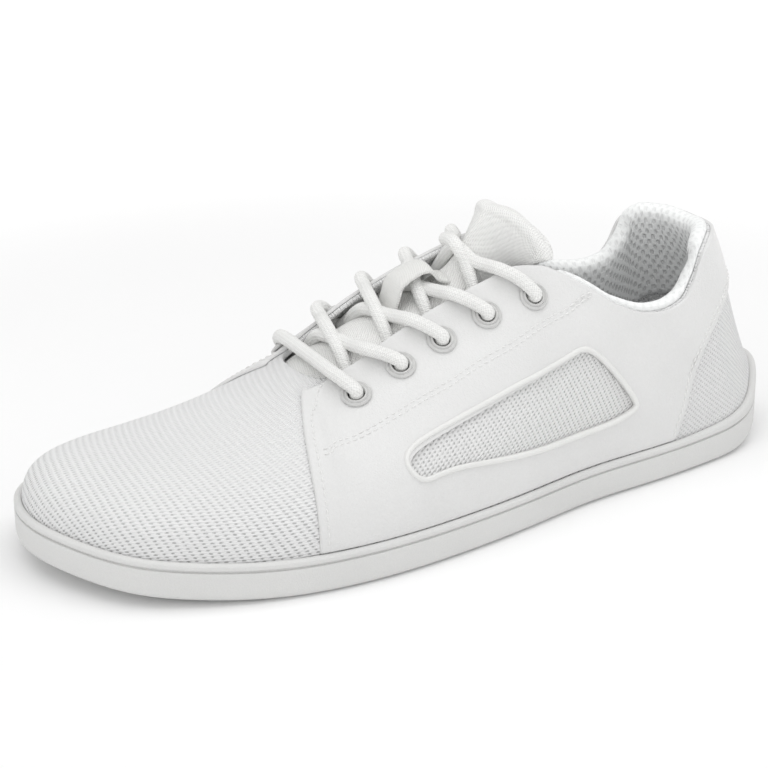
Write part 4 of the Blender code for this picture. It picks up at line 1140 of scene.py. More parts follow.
@dataclass(frozen=True)
class Sole:
    """Cup sole with its groove, bead and flex grooves, the midsole and the insole."""

    last: Last
    stations: int = 440
    floor: float = 0.0040
    midsole: float = 0.0020
    groove_height: float = 0.0010
    groove_depth: float = 0.0009
    tread_round: float = 0.0036
    tread_part: float = 0.30
    rim: float = 0.0016
    insole: float = 0.0030
    heel_cup: float = 0.0020
    flex_width: float = 0.0024
    flex_depth: float = 0.0012
    flex_margin: float = 0.0095
    flex_places: tuple[float, ...] = (0.13, 0.20, 0.53, 0.59, 0.65, 0.71, 0.77, 0.83)

    def _loop(self, inset: float, level: Any, own: bool = False) -> Array:
        """Points round the shoe at an inset; level is a function of the share."""
        angles = turns(self.stations)
        plan, _ = self.last.outline(angles, inset)
        share = 0.5 - plan[:, 1] / self.last.length if own else share_of(angles)
        return np.concatenate([plan, np.reshape(level(share), (-1, 1))], 1)

    def _arch(self, share: Any) -> Array:
        """Lift of the medial waist."""
        last = self.last
        return last.arch * smooth(0.26, 0.40, share) * (1.0 - smooth(0.50, 0.64, share))

    def _side_profile(self) -> list[tuple[float, Any]]:
        """Inset and level from the tread up the side and over the bead."""
        last = self.last
        rows: list[tuple[float, Any]] = []

        def level(part: float, extra: float = 0.0, bead: bool = False) -> Any:
            """Height between the ground and the groove or the bead."""
            top = last.bead_level if bead else last.groove_level
            return lambda s: last.ground(s) + part * (top(s) - last.ground(s)) + extra

        for t in np.linspace(0.0, 1.0, 10):
            turn = t * math.pi / 2.0
            inset = self.tread_round * (1.0 - math.sin(turn)) ** 1.2
            rows.append((inset, level(self.tread_part * (1 - math.cos(turn)))))
        for part in (0.45, 0.6, 0.75, 0.88):
            rows.append((0.0, level(part)))
        half = self.groove_height / 2.0
        for drop, deep in GROOVE:
            rows.append((deep * self.groove_depth, level(1.0, drop * half)))
        height, width = last.bead_height, last.bead_width
        for t in np.linspace(0.0, 1.0, 14):
            turn = math.pi * t
            inset = width * (0.5 - 0.5 * math.cos(turn))
            rows.append((inset, level(1.0, height * (0.42 * math.sin(turn) - 0.42), True)))
        return rows

    def build(self) -> None:
        """Build the sole's three pieces."""
        last = self.last
        rows = self._side_profile()
        rows.append((last.bead_width, lambda s: last.ground(s) + self.floor))
        loops = []
        angles = turns(self.stations)
        for i, (inset, level) in enumerate(rows):
            points = self._loop(inset, level, i in (0, len(rows) - 1))
            if i == 0:
                points[:, 2] += self._arch(share_of(angles)) * (angles > math.pi)
            loops.append(points)
        item = self._body("outsole_body", loops, SOLE_RUBBER, 22)
        cut_with(item, [self._flex_grooves()])
        item.data.shade_smooth()
        item.data.set_sharp_from_angle(angle=math.radians(42))
        seat(item, ("outsole",))
        self._board("midsole_board", last.bead_width + last.gap, self.floor + last.gap,
                    self.midsole, BOARD_FOAM, "midsole", 0.0)
        self._board("footbed", last.bead_width + self.rim + 3.0 * last.gap,
                    self.floor + self.midsole + 3.0 * last.gap, self.insole, FOOTBED,
                    "insole", self.heel_cup)

    def _body(self, name: str, loops: Sequence[Array], finish: Finish, across: int,
              arched: bool = True) -> bpy.types.Object:
        """Closed body from loops, with rungs across its first and last loop.

        Args:
            name: name of the piece.
            loops: rings of points, the first one below.
            finish: its material.
            across: number of parts across the rungs.
            arched: whether the bottom follows the arch.

        Returns:
            The new object.
        """
        count, wide = self.stations, self.stations + 1
        points = [np.concatenate(loops)]
        wrapped = [tuple(k // wide * count + k % wide % count for k in face)
                   for face in grid_faces(len(loops), wide, False)]
        size = len(loops) * count
        for number, loop in ((0, loops[0]), (len(loops) - 1, loops[-1])):
            base = number * count
            half = count // 2
            rungs = [[base]]
            inner = []
            for i in range(1, half):
                lateral, medial = loop[i], loop[count - i]
                parts = np.linspace(0.0, 1.0, across + 1)[1:-1, None]
                rung = lateral + (medial - lateral) * parts
                if number == 0 and arched:
                    share = 0.5 - lateral[1] / self.last.length
                    rung[:, 2] = self.last.ground(share) + self._arch(share) * smooth(
                        0.45, 0.90, parts[:, 0])
                inner.append(rung)
                start = size
                size += across - 1
                rungs.append([base + i, *range(start, size), base + count - i])
            rungs.append([base + half])
            points += inner
            for near, far in zip(rungs, rungs[1:]):
                near, far = (rung * (across + 1) if len(rung) == 1 else rung
                             for rung in (near, far))
                quads = [(near[k], far[k], far[k + 1], near[k + 1]) for k in range(across)]
                wrapped += [tuple(dict.fromkeys(quad)) for quad in quads]
        every = np.concatenate(points)
        item = make_piece(name, every, wrapped, [finish], every[:, :2])
        tidy_mesh(item)
        return item

    def _flex_grooves(self) -> bpy.types.Object:
        """Curved bars that cut the tread's transverse grooves."""
        last = self.last
        work = bmesh.new()
        for place in self.flex_places:
            lateral = last.outline(last.angle_on(place, Side.LATERAL), self.flex_margin)[0][0]
            medial = last.outline(last.angle_on(place, Side.MEDIAL), self.flex_margin)[0][0]
            bow = 0.035 * last.length * (-1.0 if place > 0.5 else 1.0)
            before = None
            parts = np.linspace(0.0, 1.0, 28)
            for part in parts:
                x = lateral[0] + (medial[0] - lateral[0]) * part
                y = lateral[1] + bow * (4.0 * part * (1.0 - part))
                share = 0.5 - y / last.length
                roof = float(last.ground(share)) + self.flex_depth + float(self._arch(share))
                base = self.flex_width / 2.0
                ring = [work.verts.new(p) for p in (
                    (x, y - base, -0.004), (x, y + base, -0.004),
                    (x, y + 0.6 * base, roof), (x, y - 0.6 * base, roof))]
                if before is None:
                    work.faces.new(ring)
                else:
                    for k in range(4):
                        m = (k + 1) % 4
                        work.faces.new((before[k], before[m], ring[m], ring[k]))
                before = ring
            work.faces.new(list(reversed(before)))
        return object_of(work, "flex_cutter")

    def _board(self, name: str, inset: float, base: float, thick: float, finish: Finish,
               node: str, cup: float) -> None:
        """Board inside the cup; its rim can rise round the heel."""
        last = self.last
        loops = []
        for inward, height, lip in BOARD_EDGE:
            level = base + height * thick
            loops.append(self._loop(
                inset + inward * thick,
                lambda s: last.ground(s) + level + lip * cup * last.heel_part(s), True))
        item = self._body(name, loops, finish, 12, False)
        seat(item, (node,))


@dataclass(frozen=True)
class EyeletRow:
    """Places of the eyelets on both sides."""

    last: Last
    setback: float = 0.0122
    outer: float = 0.0102
    hole: float = 0.0056
    tube: float = 0.0006
    flange: float = 0.0011
    seat_height: float = 0.0016
    wall: float = 0.0016
    sides: int = 36
    play: float = 0.0001
    reach: float = 0.007
    cutter_sides: int = 24

    def frames(self, side: Side) -> list[tuple[Array, Array]]:
        """Centre on the upper's surface and outward normal of each eyelet."""
        frames = []
        for foot in EYELET_FEET:
            angle = self.last.angle_on(foot, side)
            share = self.last.share_below(angle, self.setback)
            place, normal = self.last.lifted(angle, share[0])
            frames.append((place, normal))
        return frames

    def cutter(self, side: Side) -> bpy.types.Object:
        """Cylinders through leather and mesh at the eyelets of one side."""
        work = bmesh.new()
        radius = self.hole / 2.0 + self.tube + self.play
        for place, normal in self.frames(side):
            first = unit(np.cross(normal, (0.0, 1.0, 0.0)))
            second = np.cross(normal, first)
            rings = []
            for depth in (-self.reach, self.reach):
                ring = []
                for t in turns(self.cutter_sides):
                    ring.append(work.verts.new(
                        place + normal * depth
                        + (first * math.cos(t) + second * math.sin(t)) * radius))
                rings.append(ring)
            for k in range(self.cutter_sides):
                m = (k + 1) % self.cutter_sides
                work.faces.new((rings[0][k], rings[0][m], rings[1][m], rings[1][k]))
            work.faces.new(list(reversed(rings[0])))
            work.faces.new(rings[1])
        return object_of(work, "eyelet_cutter")

    def _ring(self) -> bpy.types.Object:
        """One rolled eyelet at the origin, its axis along z."""
        outer, hole = self.outer / 2.0, self.hole / 2.0
        base, top = self.seat_height, self.seat_height + self.flange
        mid = (outer + hole) / 2.0
        profile = [
            (outer - 0.0002, base - 0.0002), (outer, base + 0.0003),
            (outer - 0.0002, base + 0.65 * self.flange), (outer - 0.0007, top - 0.0001),
            (mid + 0.0004, top - 0.00005), (mid + 0.0001, top - 0.0005),
            (mid - 0.0001, top - 0.0005), (mid - 0.0003, top), (mid - 0.0007, top + 0.0001),
            (hole + 0.0002, top - 0.0002), (hole, top - 0.0007), (hole, -self.wall),
            (hole + self.tube, -self.wall), (hole + self.tube, base - 0.0002),
        ]
        ring = profile + profile[:1]
        points = []
        for t in turns(self.sides):
            points += [(radius * math.cos(t), radius * math.sin(t), height)
                       for radius, height in ring]
        faces = grid_faces(self.sides, len(ring), True)
        item = make_piece("eyelet_pattern", np.array(points), faces, [EYELET_PAINT])
        tidy_mesh(item)
        return item

    def build(self, repeater: Repeater) -> None:
        """Build all eyelets as one piece for each side."""
        pattern = self._ring()
        for side in Side:
            frames = self.frames(side)
            places = np.array([p for p, _ in frames])
            normals = np.array([n for _, n in frames])
            ahead = unit(np.cross(normals, np.tile((1.0, 0.0, 0.0), (len(frames), 1))))
            name = "eyelets_" + side.word
            item = repeater.lay(name, pattern, places, normals, ahead, EYELET_PAINT)
            nodes = ["eyelet_%s_%d" % (side.word, i + 1) for i in range(len(frames))]
            seat(item, nodes)
        bpy.data.objects.remove(pattern, do_unlink=True)


class Repeater:
    """Lays copies of a small pattern on places, by Geometry Nodes."""

    def _tree(self) -> Any:
        """Tree with the pattern and its finish as inputs."""
        tree = bpy.data.node_groups.new("laid_copies", "GeometryNodeTree")
        tree.is_modifier = True
        face = tree.interface
        face.new_socket("Geometry", in_out="INPUT", socket_type="NodeSocketGeometry")
        face.new_socket("Pattern", in_out="INPUT", socket_type="NodeSocketObject")
        face.new_socket("Finish", in_out="INPUT", socket_type="NodeSocketMaterial")
        face.new_socket("Geometry", in_out="OUTPUT", socket_type="NodeSocketGeometry")
        add = tree.nodes.new
        start, end = add("NodeGroupInput"), add("NodeGroupOutput")
        source = add("GeometryNodeObjectInfo")
        normal, ahead = (add("GeometryNodeInputNamedAttribute") for _ in range(2))
        for node, name in ((normal, "normal_way"), (ahead, "ahead_way")):
            node.data_type = "FLOAT_VECTOR"
            node.inputs["Name"].default_value = name
        stand, turn = (add("FunctionNodeAlignRotationToVector") for _ in range(2))
        stand.axis, turn.axis, turn.pivot_axis = "Z", "X", "Z"
        lay = add("GeometryNodeInstanceOnPoints")
        real = add("GeometryNodeRealizeInstances")
        paint = add("GeometryNodeSetMaterial")
        link = tree.links.new
        link(start.outputs["Pattern"], source.inputs["Object"])
        link(normal.outputs["Attribute"], stand.inputs["Vector"])
        link(stand.outputs["Rotation"], turn.inputs["Rotation"])
        link(ahead.outputs["Attribute"], turn.inputs["Vector"])
        link(start.outputs["Geometry"], lay.inputs["Points"])
        link(source.outputs["Geometry"], lay.inputs["Instance"])
        link(turn.outputs["Rotation"], lay.inputs["Rotation"])
        link(lay.outputs["Instances"], real.inputs["Geometry"])
        link(real.outputs["Geometry"], paint.inputs["Geometry"])
        link(start.outputs["Finish"], paint.inputs["Material"])
        link(paint.outputs["Geometry"], end.inputs["Geometry"])
        return tree

    def __init__(self) -> None:
        """Build the tree once."""
        self.tree = self._tree()

    def lay(self, name: str, pattern: bpy.types.Object, places: Array, normals: Array,
            ahead: Array, finish: Finish) -> bpy.types.Object:
        """Lay the pattern on each place.

        Args:
            name: name of the piece.
            pattern: the object that is repeated, its back on z = 0 and its length along x.
            places: where the copies go.
            normals: the way that each copy's z points.
            ahead: the way that each copy's x points.
            finish: material of the piece.

        Returns:
            One plain mesh object with all the copies.
        """
        mesh = bpy.data.meshes.new(name)
        mesh.from_pydata(np.asarray(places, float).tolist(), [], [])
        for label, vectors in (("normal_way", normals), ("ahead_way", ahead)):
            layer = mesh.attributes.new(label, "FLOAT_VECTOR", "POINT")
            layer.data.foreach_set("vector", np.asarray(vectors, np.float32).ravel())
        item = placed(name, mesh)
        change = item.modifiers.new("copies", "NODES")
        change.node_group = self.tree
        sockets = {s.name: s.identifier for s in self.tree.interface.items_tree
                   if s.in_out == "INPUT"}
        change[sockets["Pattern"]] = pattern
        change[sockets["Finish"]] = material_of(finish)
        apply_all(item)
        item.data.shade_smooth()
        return item


@dataclass(frozen=True)
class WindowShape:
    """Outline of the side windows, as y and z."""

    last: Last
    piping: float = 0.0018
    cut_from: float = 0.012
    cut_to: float = 0.075
    samples: int = 140

    def ring(self, grow: float, count: int) -> Array:
        """The window's outline grown outward by a distance, (count, 2)."""
        last = self.last
        places = [(last.length * (0.5 - a), b * last.instep_height) for a, b in WINDOW]
        ring = ring_through(places, count)
        run = np.roll(ring, -1, 0) - np.roll(ring, 1, 0)
        normal = unit(np.stack([run[:, 1], -run[:, 0]], 1))
        if np.sum((ring - ring.mean(0)) * normal) < 0:
            normal = -normal
        return ring + normal * grow

    def holds(self, y: Array, z: Array, grow: float) -> Array:
        """Whether places lie inside the outline, seen from the side."""
        ring = self.ring(grow, 120)
        inside = np.zeros(y.shape, bool)
        for (y0, z0), (y1, z1) in zip(ring, np.roll(ring, -1, 0)):
            crosses = (z0 > z) != (z1 > z)
            with np.errstate(divide="ignore", invalid="ignore"):
                at = (y1 - y0) * (z - z0) / (z1 - z0) + y0
            inside ^= crosses & (y < at)
        return inside

    def cutter(self, side: Side) -> bpy.types.Object:
        """Prism through the leather where the mesh shows."""
        ring = self.ring(-self.piping / 3.0, self.samples)
        ring = np.vstack([ring, ring[:1]])
        points = [(x * side.value, y, z) for x in (self.cut_from, self.cut_to) for y, z in ring]
        item = make_piece("window_cutter", np.array(points), tube_faces(2, len(ring)), [])
        tidy_mesh(item)
        return item

    def on_surface(self, tree: BVHTree, side: Side, count: int) -> tuple[Array, Array]:
        """The outline laid on the upper.

        Args:
            tree: search tree of the surface.
            side: side of the shoe.
            count: number of samples.

        Returns:
            The places and the outward normals.
        """
        places, normals = [], []
        for y, z in self.ring(0.0, count):
            start = Vector((0.12 * side.value, y, z))
            hit, normal, _, _ = tree.ray_cast(start, Vector((-side.value, 0.0, 0.0)))
            if normal[0] * side.value < 0:
                normal = -normal
            places.append(hit)
            normals.append(normal)
        normals = unit(np.array(normals))
        for _ in range(3):
            normals = unit(np.roll(normals, 1, 0) + normals + np.roll(normals, -1, 0))
        return np.array(places), normals


@dataclass(frozen=True)
class Upper:
    """Mesh shell, leather quarters and window pipings."""

    last: Last
    eyelets: EyeletRow
    window: WindowShape
    wall: float = 0.0016
    leather: float = 0.0012
    under_leather: float = 0.00018
    edge: float = 0.0007
    edge_back: float = 0.0002
    flare: float = 0.00045
    tuck_height: float = 0.0070
    heel_from: float = 0.26
    window_from: float = 0.014
    window_margin: float = 0.003
    ripple: float = 0.00008
    shell_rows: int = 58
    quarter_columns: int = 170
    quarter_rows: int = 56
    quarter_run: float = 0.195
    quarter_rise: float = 0.075
    quarter_start: float = 0.00769231
    foot_drop: float = 0.013
    edge_share: float = 0.12
    piping_width: float = 0.0018
    piping_rise: float = 0.0010
    piping_count: int = 260

    def shell_angles(self) -> Array:
        """Angles of the shell's ribs, with one exactly at the throat's foot."""
        throat = float(angle_of(self.last.throat_foot))
        fan = float(angle_of(self.last.fan_foot))
        back = np.linspace(0.0, throat, 150)
        vamp = np.linspace(throat, fan, 46)[1:]
        front = np.linspace(fan, math.pi, 18)[1:]
        half = np.concatenate([back, vamp, front])
        return np.concatenate([half, TURN - half[-2:0:-1]])

    def build(self) -> None:
        """Build the shell, both quarters and both pipings."""
        self._shell()
        tree = self.last.tree(0.0)
        for side in Side:
            self._quarter(side)
            self._piping(tree, side)

    def _shell(self) -> None:
        """Hollow mesh shell."""
        last = self.last
        angles = self.shell_angles()
        shares = np.linspace(0.0, 1.0, self.shell_rows)
        flare = self.flare * (1.0 - smooth(0.0, 0.07, shares))
        points, _ = last.lifted(angles[:, None], shares[None, :], flare[None, :])
        tuck, _ = last.outline(angles, last.bead_width + last.gap)
        level = last.ground(0.5 - tuck[:, 1] / last.length) + self.tuck_height
        low = np.concatenate([tuck, level[:, None]], 1)[:, None]
        points = np.concatenate([low, points], 1)
        rows, columns = points.shape[:2]
        along = distances(points, 1)
        foot = distances(np.concatenate([points[:, 1:2], points[:1, 1:2]]), 0)[:-1]
        cloth = np.stack([np.broadcast_to(foot, (rows, columns)), along], -1)
        faces = grid_faces(rows, columns, True)
        item = make_piece("upper_shell", points, faces, [VAMP_MESH, WINDOW_MESH, HEEL_MESH], cloth)
        tidy_mesh(item, 2e-5)
        self._unroll(item)
        self._side_coordinates(item)
        shell = item.modifiers.new("wall", "SOLIDIFY")
        shell.thickness = self.wall
        shell.offset = -1.0
        shell.use_even_offset = False
        cut_with(item, [self.eyelets.cutter(side) for side in Side])
        item.data.shade_smooth()
        seat(item, ("upper",))

    def _unroll(self, item: bpy.types.Object) -> None:
        """Lay the cloth flat, as it was cut, and take the pattern's coordinates there."""
        mesh = item.data
        points = np.array([point.co for point in mesh.vertices])
        middle = float(self.last.points(0.0, 0.5)[0])
        at_heel = (np.abs(points[:, 0] - middle) < 1e-5) & (points[:, 1] > 0.3 * self.last.length)
        for edge in mesh.edges:
            edge.use_seam = bool(at_heel[list(edge.vertices)].all())
        bpy.context.view_layer.objects.active = item
        item.select_set(True)
        bpy.ops.object.mode_set(mode="EDIT")
        bpy.ops.mesh.select_all(action="SELECT")
        bpy.ops.uv.unwrap(method="MINIMUM_STRETCH", margin=0.0)
        bpy.ops.object.mode_set(mode="OBJECT")
        item.select_set(False)
        mesh = item.data
        flat = np.zeros(2 * len(mesh.loops))
        layer = mesh.uv_layers["cloth"]
        layer.data.foreach_get("uv", flat)
        flat = flat.reshape(-1, 2)
        where = np.zeros((len(points), 2))
        where[corner_points(mesh)] = flat
        ridge = [self.last.points(float(angle_of(s)), 1.0) for s in (0.722, 0.955)]
        ends = [int(np.argmin(np.linalg.norm(points - place, axis=1))) for place in ridge]
        run = where[ends[1]] - where[ends[0]]
        real = np.linalg.norm(points[ends[1]] - points[ends[0]])
        scale = real / np.linalg.norm(run)
        ahead = run / np.linalg.norm(run)
        turn = np.array([[ahead[0], -ahead[1]], [ahead[1], ahead[0]]])
        flat = (flat - where[ends[0]]) @ turn * scale
        layer.data.foreach_set("uv", flat.ravel().astype(np.float32))
        LOG.info("cloth laid flat at %.4f m across", float(np.ptp(flat[:, 1])))

    def _side_coordinates(self, item: bpy.types.Object) -> None:
        """Give heel and windows their own finishes; the windows take plain side coordinates."""
        mesh = item.data
        layer = mesh.uv_layers["cloth"]
        centres = np.array([face.center for face in mesh.polygons])
        inside = self.window.holds(centres[:, 1], centres[:, 2], self.window_margin)
        inside &= np.abs(centres[:, 0]) > self.window_from
        heel = centres[:, 1] > self.heel_from * self.last.length
        for face, chosen, behind in zip(mesh.polygons, inside, heel):
            if behind:
                face.material_index = 2
            if chosen:
                face.material_index = 1
                for corner in face.loop_indices:
                    place = mesh.vertices[mesh.loops[corner].vertex_index].co
                    layer.data[corner].uv = (-place.y, place.z)

    def _creases(self, angle: Array, share: Array) -> Array:
        """Soft troughs and ridges of the leather, in metres."""
        place = share_of(np.where(angle > math.pi, TURN - angle, angle))
        height = self.ripple * np.sin(place * 95.0 + 2.0 * share) * bump_at(share, 0.93, 0.09)
        for centre, width, level, spread, lean, rise in CREASES:
            fold = bump_at(place - lean * share, centre, width) * bump_at(share, level, spread)
            height = height + rise * fold
        return height

    def _quarter(self, side: Side) -> None:
        """Leather quarter with its eyestay, one side."""
        last = self.last
        front_table, seam_table = np.array(QUARTER_FRONT), np.array(HEEL_SEAM)
        front = Rows(front_table[:, 0], {"angle": angle_of(front_table[:, 1])})
        seam = Rows(angle_of(seam_table[:, 0]), {"share": seam_table[:, 1]})
        last_angle = float(front.at(0.0, "angle"))
        p = marks_with_edges(self.quarter_columns, self.quarter_run, self.edge)
        q = marks_with_edges(self.quarter_rows, self.quarter_rise, self.edge)
        base = self.quarter_start + (last_angle - self.quarter_start) * p
        low = seam.at(base, "share")
        low = low - self.foot_drop * (1.0 - smooth(0.015, 0.10, low))
        high = last.share_below(base, self.edge_back)
        share = low[:, None] + (high - low)[:, None] * q[None, :]
        sway = smooth(float(angle_of(0.45)), last_angle, base)
        angle = base[:, None] + sway[:, None] * (front.at(share, "angle") - last_angle)
        angle = angle if side is Side.LATERAL else TURN - angle
        run_p = np.minimum(p, 1.0 - p) * self.quarter_run
        run_q = np.minimum(q, 1.0 - q) * self.quarter_rise
        away = np.minimum(run_p[:, None], run_q[None, :])
        full = self.edge_share + (1.0 - self.edge_share) * edge_round(away, self.edge)
        lift = self.under_leather + self.leather * full + self._creases(angle, share)
        outer, _ = last.lifted(angle, share, np.maximum(lift, self.under_leather + 0.0001))
        inner, _ = last.lifted(angle, share, self.under_leather)
        name = "quarter_" + side.word
        item = closed_shell(name + "_leather", outer, inner, QUARTER, cloth_of(outer))
        cut_with(item, [self.window.cutter(side), self.eyelets.cutter(side)])
        item.data.shade_smooth()
        item.data.set_sharp_from_angle(angle=math.radians(50))
        seat(item, (name,))

    def _piping(self, tree: BVHTree, side: Side) -> None:
        """Raised folded edge round the window."""
        places, normals = self.window.on_surface(tree, side, self.piping_count)
        run = unit(np.roll(places, -1, 0) - np.roll(places, 1, 0))
        across = unit(np.cross(run, normals))
        base = self.under_leather + self.leather
        section = [(-0.5, -1.0), (-0.5, 0.0)]
        section += [(-0.5 * math.cos(t), math.sin(t) ** 0.8) for t in np.linspace(0.25, 2.9, 9)]
        section += [(0.5, 0.0), (0.5, -1.0)]
        rings = []
        for a, b in section:
            drop = b * (self.piping_rise if b >= 0.0 else self.leather)
            rings.append(places + across * (a * self.piping_width) + normals * (base + drop))
        grid = np.array(rings + rings[:1]).transpose(1, 0, 2)
        faces = grid_faces(*grid.shape[:2], True)
        item = make_piece("window_edge_" + side.word, grid, faces, [EDGE_LEATHER], cloth_of(grid))
        tidy_mesh(item)
        seat(item, ("window_piping_" + side.word,))


@dataclass(frozen=True)
class CollarPad:
    """Padded lining roll round the ankle."""

    last: Last
    wall: float = 0.0016
    fit: float = 0.0001
    depth: float = 0.034
    roll: float = 0.0030
    thick: float = 0.0055
    thin: float = 0.0022
    last_foot: float = 0.366
    taper: float = 0.10
    end: float = 0.35
    stations: int = 220
    sides: int = 48
    roll_column: int = 14

    def build(self) -> None:
        """Build the pad from one throat corner to the other."""
        last = self.last
        end = float(angle_of(self.last_foot))
        angles = np.linspace(-end, end, self.stations)
        full = self.end + (1.0 - self.end) * edge_round(end - np.abs(angles), self.taper)
        roll, thick = self.roll * full[:, None], self.thick * full
        lift = -(self.wall + self.fit)
        shares = [last.share_below(angles, d * self.depth) for d in (1.0, 0.5, 0.12)]
        deep, mid, near = shares
        top, normal = last.lifted(angles, np.ones(len(angles)), lift)
        below, _ = last.lifted(angles, np.full(len(angles), 0.96), lift)
        up = unit(top - below)
        rows = [
            last.lifted(angles, deep, lift)[0],
            last.lifted(angles, mid, lift)[0],
            last.lifted(angles, near, lift)[0],
            top,
            top + up * (0.60 * roll) + normal * (0.24 * thick)[:, None],
            top + up * roll - normal * (0.15 * thick)[:, None],
            top + up * (0.95 * roll) - normal * (0.55 * thick)[:, None],
            top + up * (0.45 * roll) - normal * (0.90 * thick)[:, None],
            last.lifted(angles, near, lift - thick)[0],
            last.lifted(angles, mid, lift - 0.85 * thick)[0],
            last.lifted(angles, deep, lift - self.thin)[0],
        ]
        sections = np.array(rows).transpose(1, 0, 2)
        rings = np.array([ring_through(section, self.sides) for section in sections])
        closed = np.concatenate([rings, rings[:, :1]], 1)
        cloth = cloth_of(closed)
        cloth[..., 0] = cloth[:, self.roll_column:self.roll_column + 1, 0]
        faces = tube_faces(*closed.shape[:2])
        item = make_piece("collar_padding", closed, faces, [LINING], cloth)
        tidy_mesh(item)
        seat(item, ("collar_pad",))


@dataclass(frozen=True)
class Tongue:
    """Padded tongue, its edge seam and the keeper for the laces."""

    last: Last
    thick: float = 0.0045
    crown_thick: float = 0.0050
    crown_spread: float = 0.16
    crown_round: float = 0.12
    crown_bow: float = 1.0
    medial_round: float = 1.7
    medial_sweep: float = 0.55
    corner_power: float = 2.6
    crown: float = 2.2
    edge: float = 0.0038
    seam_in: float = 0.0052
    seam_deep: float = 0.00045
    swell: float = 0.0008
    tape_width: float = 0.0115
    tape_thick: float = 0.0009
    tape_step: float = 0.0045
    tape_droop: float = 0.0010
    tape_gap: float = 0.0004

    def _rows(self) -> Rows:
        """The tongue's rows as curves."""
        table = np.array(TONGUE)
        names = ("centre", "height", "half", "back", "drop", "tilt")
        keys = np.linspace(0.0, 1.0, len(table))
        return Rows(keys, {name: table[:, i] for i, name in enumerate(names)})

    def face(self, along: Array, across: Array, under: BVHTree) -> Array:
        """Points of the tongue's upper face.

        Args:
            along: shares from the toe end to the top.
            across: -1 on the medial side to 1 on the lateral side.
            under: search tree of the upper's inside.

        Returns:
            The points, (along, across, 3).
        """
        last, rows = self.last, self._rows()
        gap = last.throat_gap
        along = along[:, None]
        across = across[None, :]
        top = smooth(0.60, 1.0, along)
        corner = np.where(across < 0.0, self.medial_round, 1.0) * self.crown_round
        reach = along - corner * top * np.abs(across) ** self.corner_power
        bow = self.crown + self.crown_bow * top
        across = across * (1.0 + self.crown_spread * smooth(0.60, 0.90, along))
        centre = rows.at(reach, "centre")
        half, back, drop, tilt = (rows.at(reach, n) * gap
                                  for n in ("half", "back", "drop", "tilt"))
        x = last.axis_x(centre) + across * half
        sweep = np.where(across < 0.0, 1.0 - (1.0 - self.medial_sweep) * top, 1.0)
        y = last.length * (0.5 - centre) + sweep * back * np.abs(across) ** 1.5
        z = rows.at(reach, "height") * last.tongue_height
        z = z - drop * np.abs(across) ** bow - tilt * across * np.abs(across)
        points = np.stack(np.broadcast_arrays(x, y, z), -1)
        for i, k in np.argwhere(centre > 0.45):
            start = Vector((points[i, k, 0], points[i, k, 1], 0.02))
            hit, _, _, _ = under.ray_cast(start, Vector((0.0, 0.0, 1.0)))
            if hit is not None:
                points[i, k, 2] = min(points[i, k, 2], hit[2])
        return points

    def tree(self, under: BVHTree) -> BVHTree:
        """Search tree of the tongue's upper face."""
        points = self.face(np.linspace(0.0, 1.0, 90), np.linspace(-1.0, 1.0, 41), under)
        return tree_of(points, False)

    def build(self, under: BVHTree) -> None:
        """Build the tongue."""
        along = np.concatenate([np.linspace(0.0, 0.94, 96), np.linspace(0.945, 1.0, 16)])
        across = np.sin(np.linspace(-1.0, 1.0, 61) * math.pi / 2.0)
        face = self.face(along, across, under)
        top = smooth(0.62, 0.92, along)[:, None]
        normal = unit(np.cross(np.gradient(face, axis=1), np.gradient(face, axis=0)))
        side_run = distances(face, 1)
        from_side = np.minimum(side_run, side_run[:, -1:] - side_run)
        up_run = distances(face, 0)
        from_end = up_run[-1:] - up_run
        away = np.minimum(from_side, from_end)
        puff = edge_round(away, self.edge)
        groove = self.seam_deep * bump_at(away, self.seam_in, 0.0005)
        swell = self.swell * smooth(0.004, 0.014, away) * top
        half = (self.thick + self.crown_thick * top) / 2.0
        outer = face + normal * (-half + half * puff - groove + swell)[..., None]
        inner = face + normal * (-half - half * puff)[..., None]
        cloth = np.stack([side_run, up_run], -1)
        item = closed_shell("tongue_padded", outer, inner, TONGUE_CLOTH, cloth)
        seat(item, ("tongue",))

    def keeper(self, over: BVHTree) -> None:
        """Tape sewn on the tongue, over one crossing of the laces."""
        table = np.array(KEEPER)
        rows = Rows(-table[:, 0], {"level": table[:, 1]}, ("level",))
        stations = np.linspace(table[0, 0], table[-1, 0], 60)
        grid = []
        for share in stations:
            y = self.last.length * (0.5 - share)
            level = float(rows.at(-share, "level")) * self.tape_step
            middle = float(self.last.axis_x(share))
            row = []
            for part in np.linspace(-1.0, 1.0, 13):
                x = middle + part * self.tape_width / 2.0
                droop = self.tape_droop * part * part * min(1.0, level / self.tape_step)
                row.append((x, y, found_below(over, x, y).z + self.tape_gap + level - droop))
            grid.append(row)
        lower = np.array(grid)
        normal = unit(np.cross(np.gradient(lower, axis=1), np.gradient(lower, axis=0)))
        outer = lower + normal * self.tape_thick
        item = closed_shell("keeper_tape", outer, lower, TAPE, cloth_of(outer)[..., ::-1])
        seat(item, ("lace_keeper",))


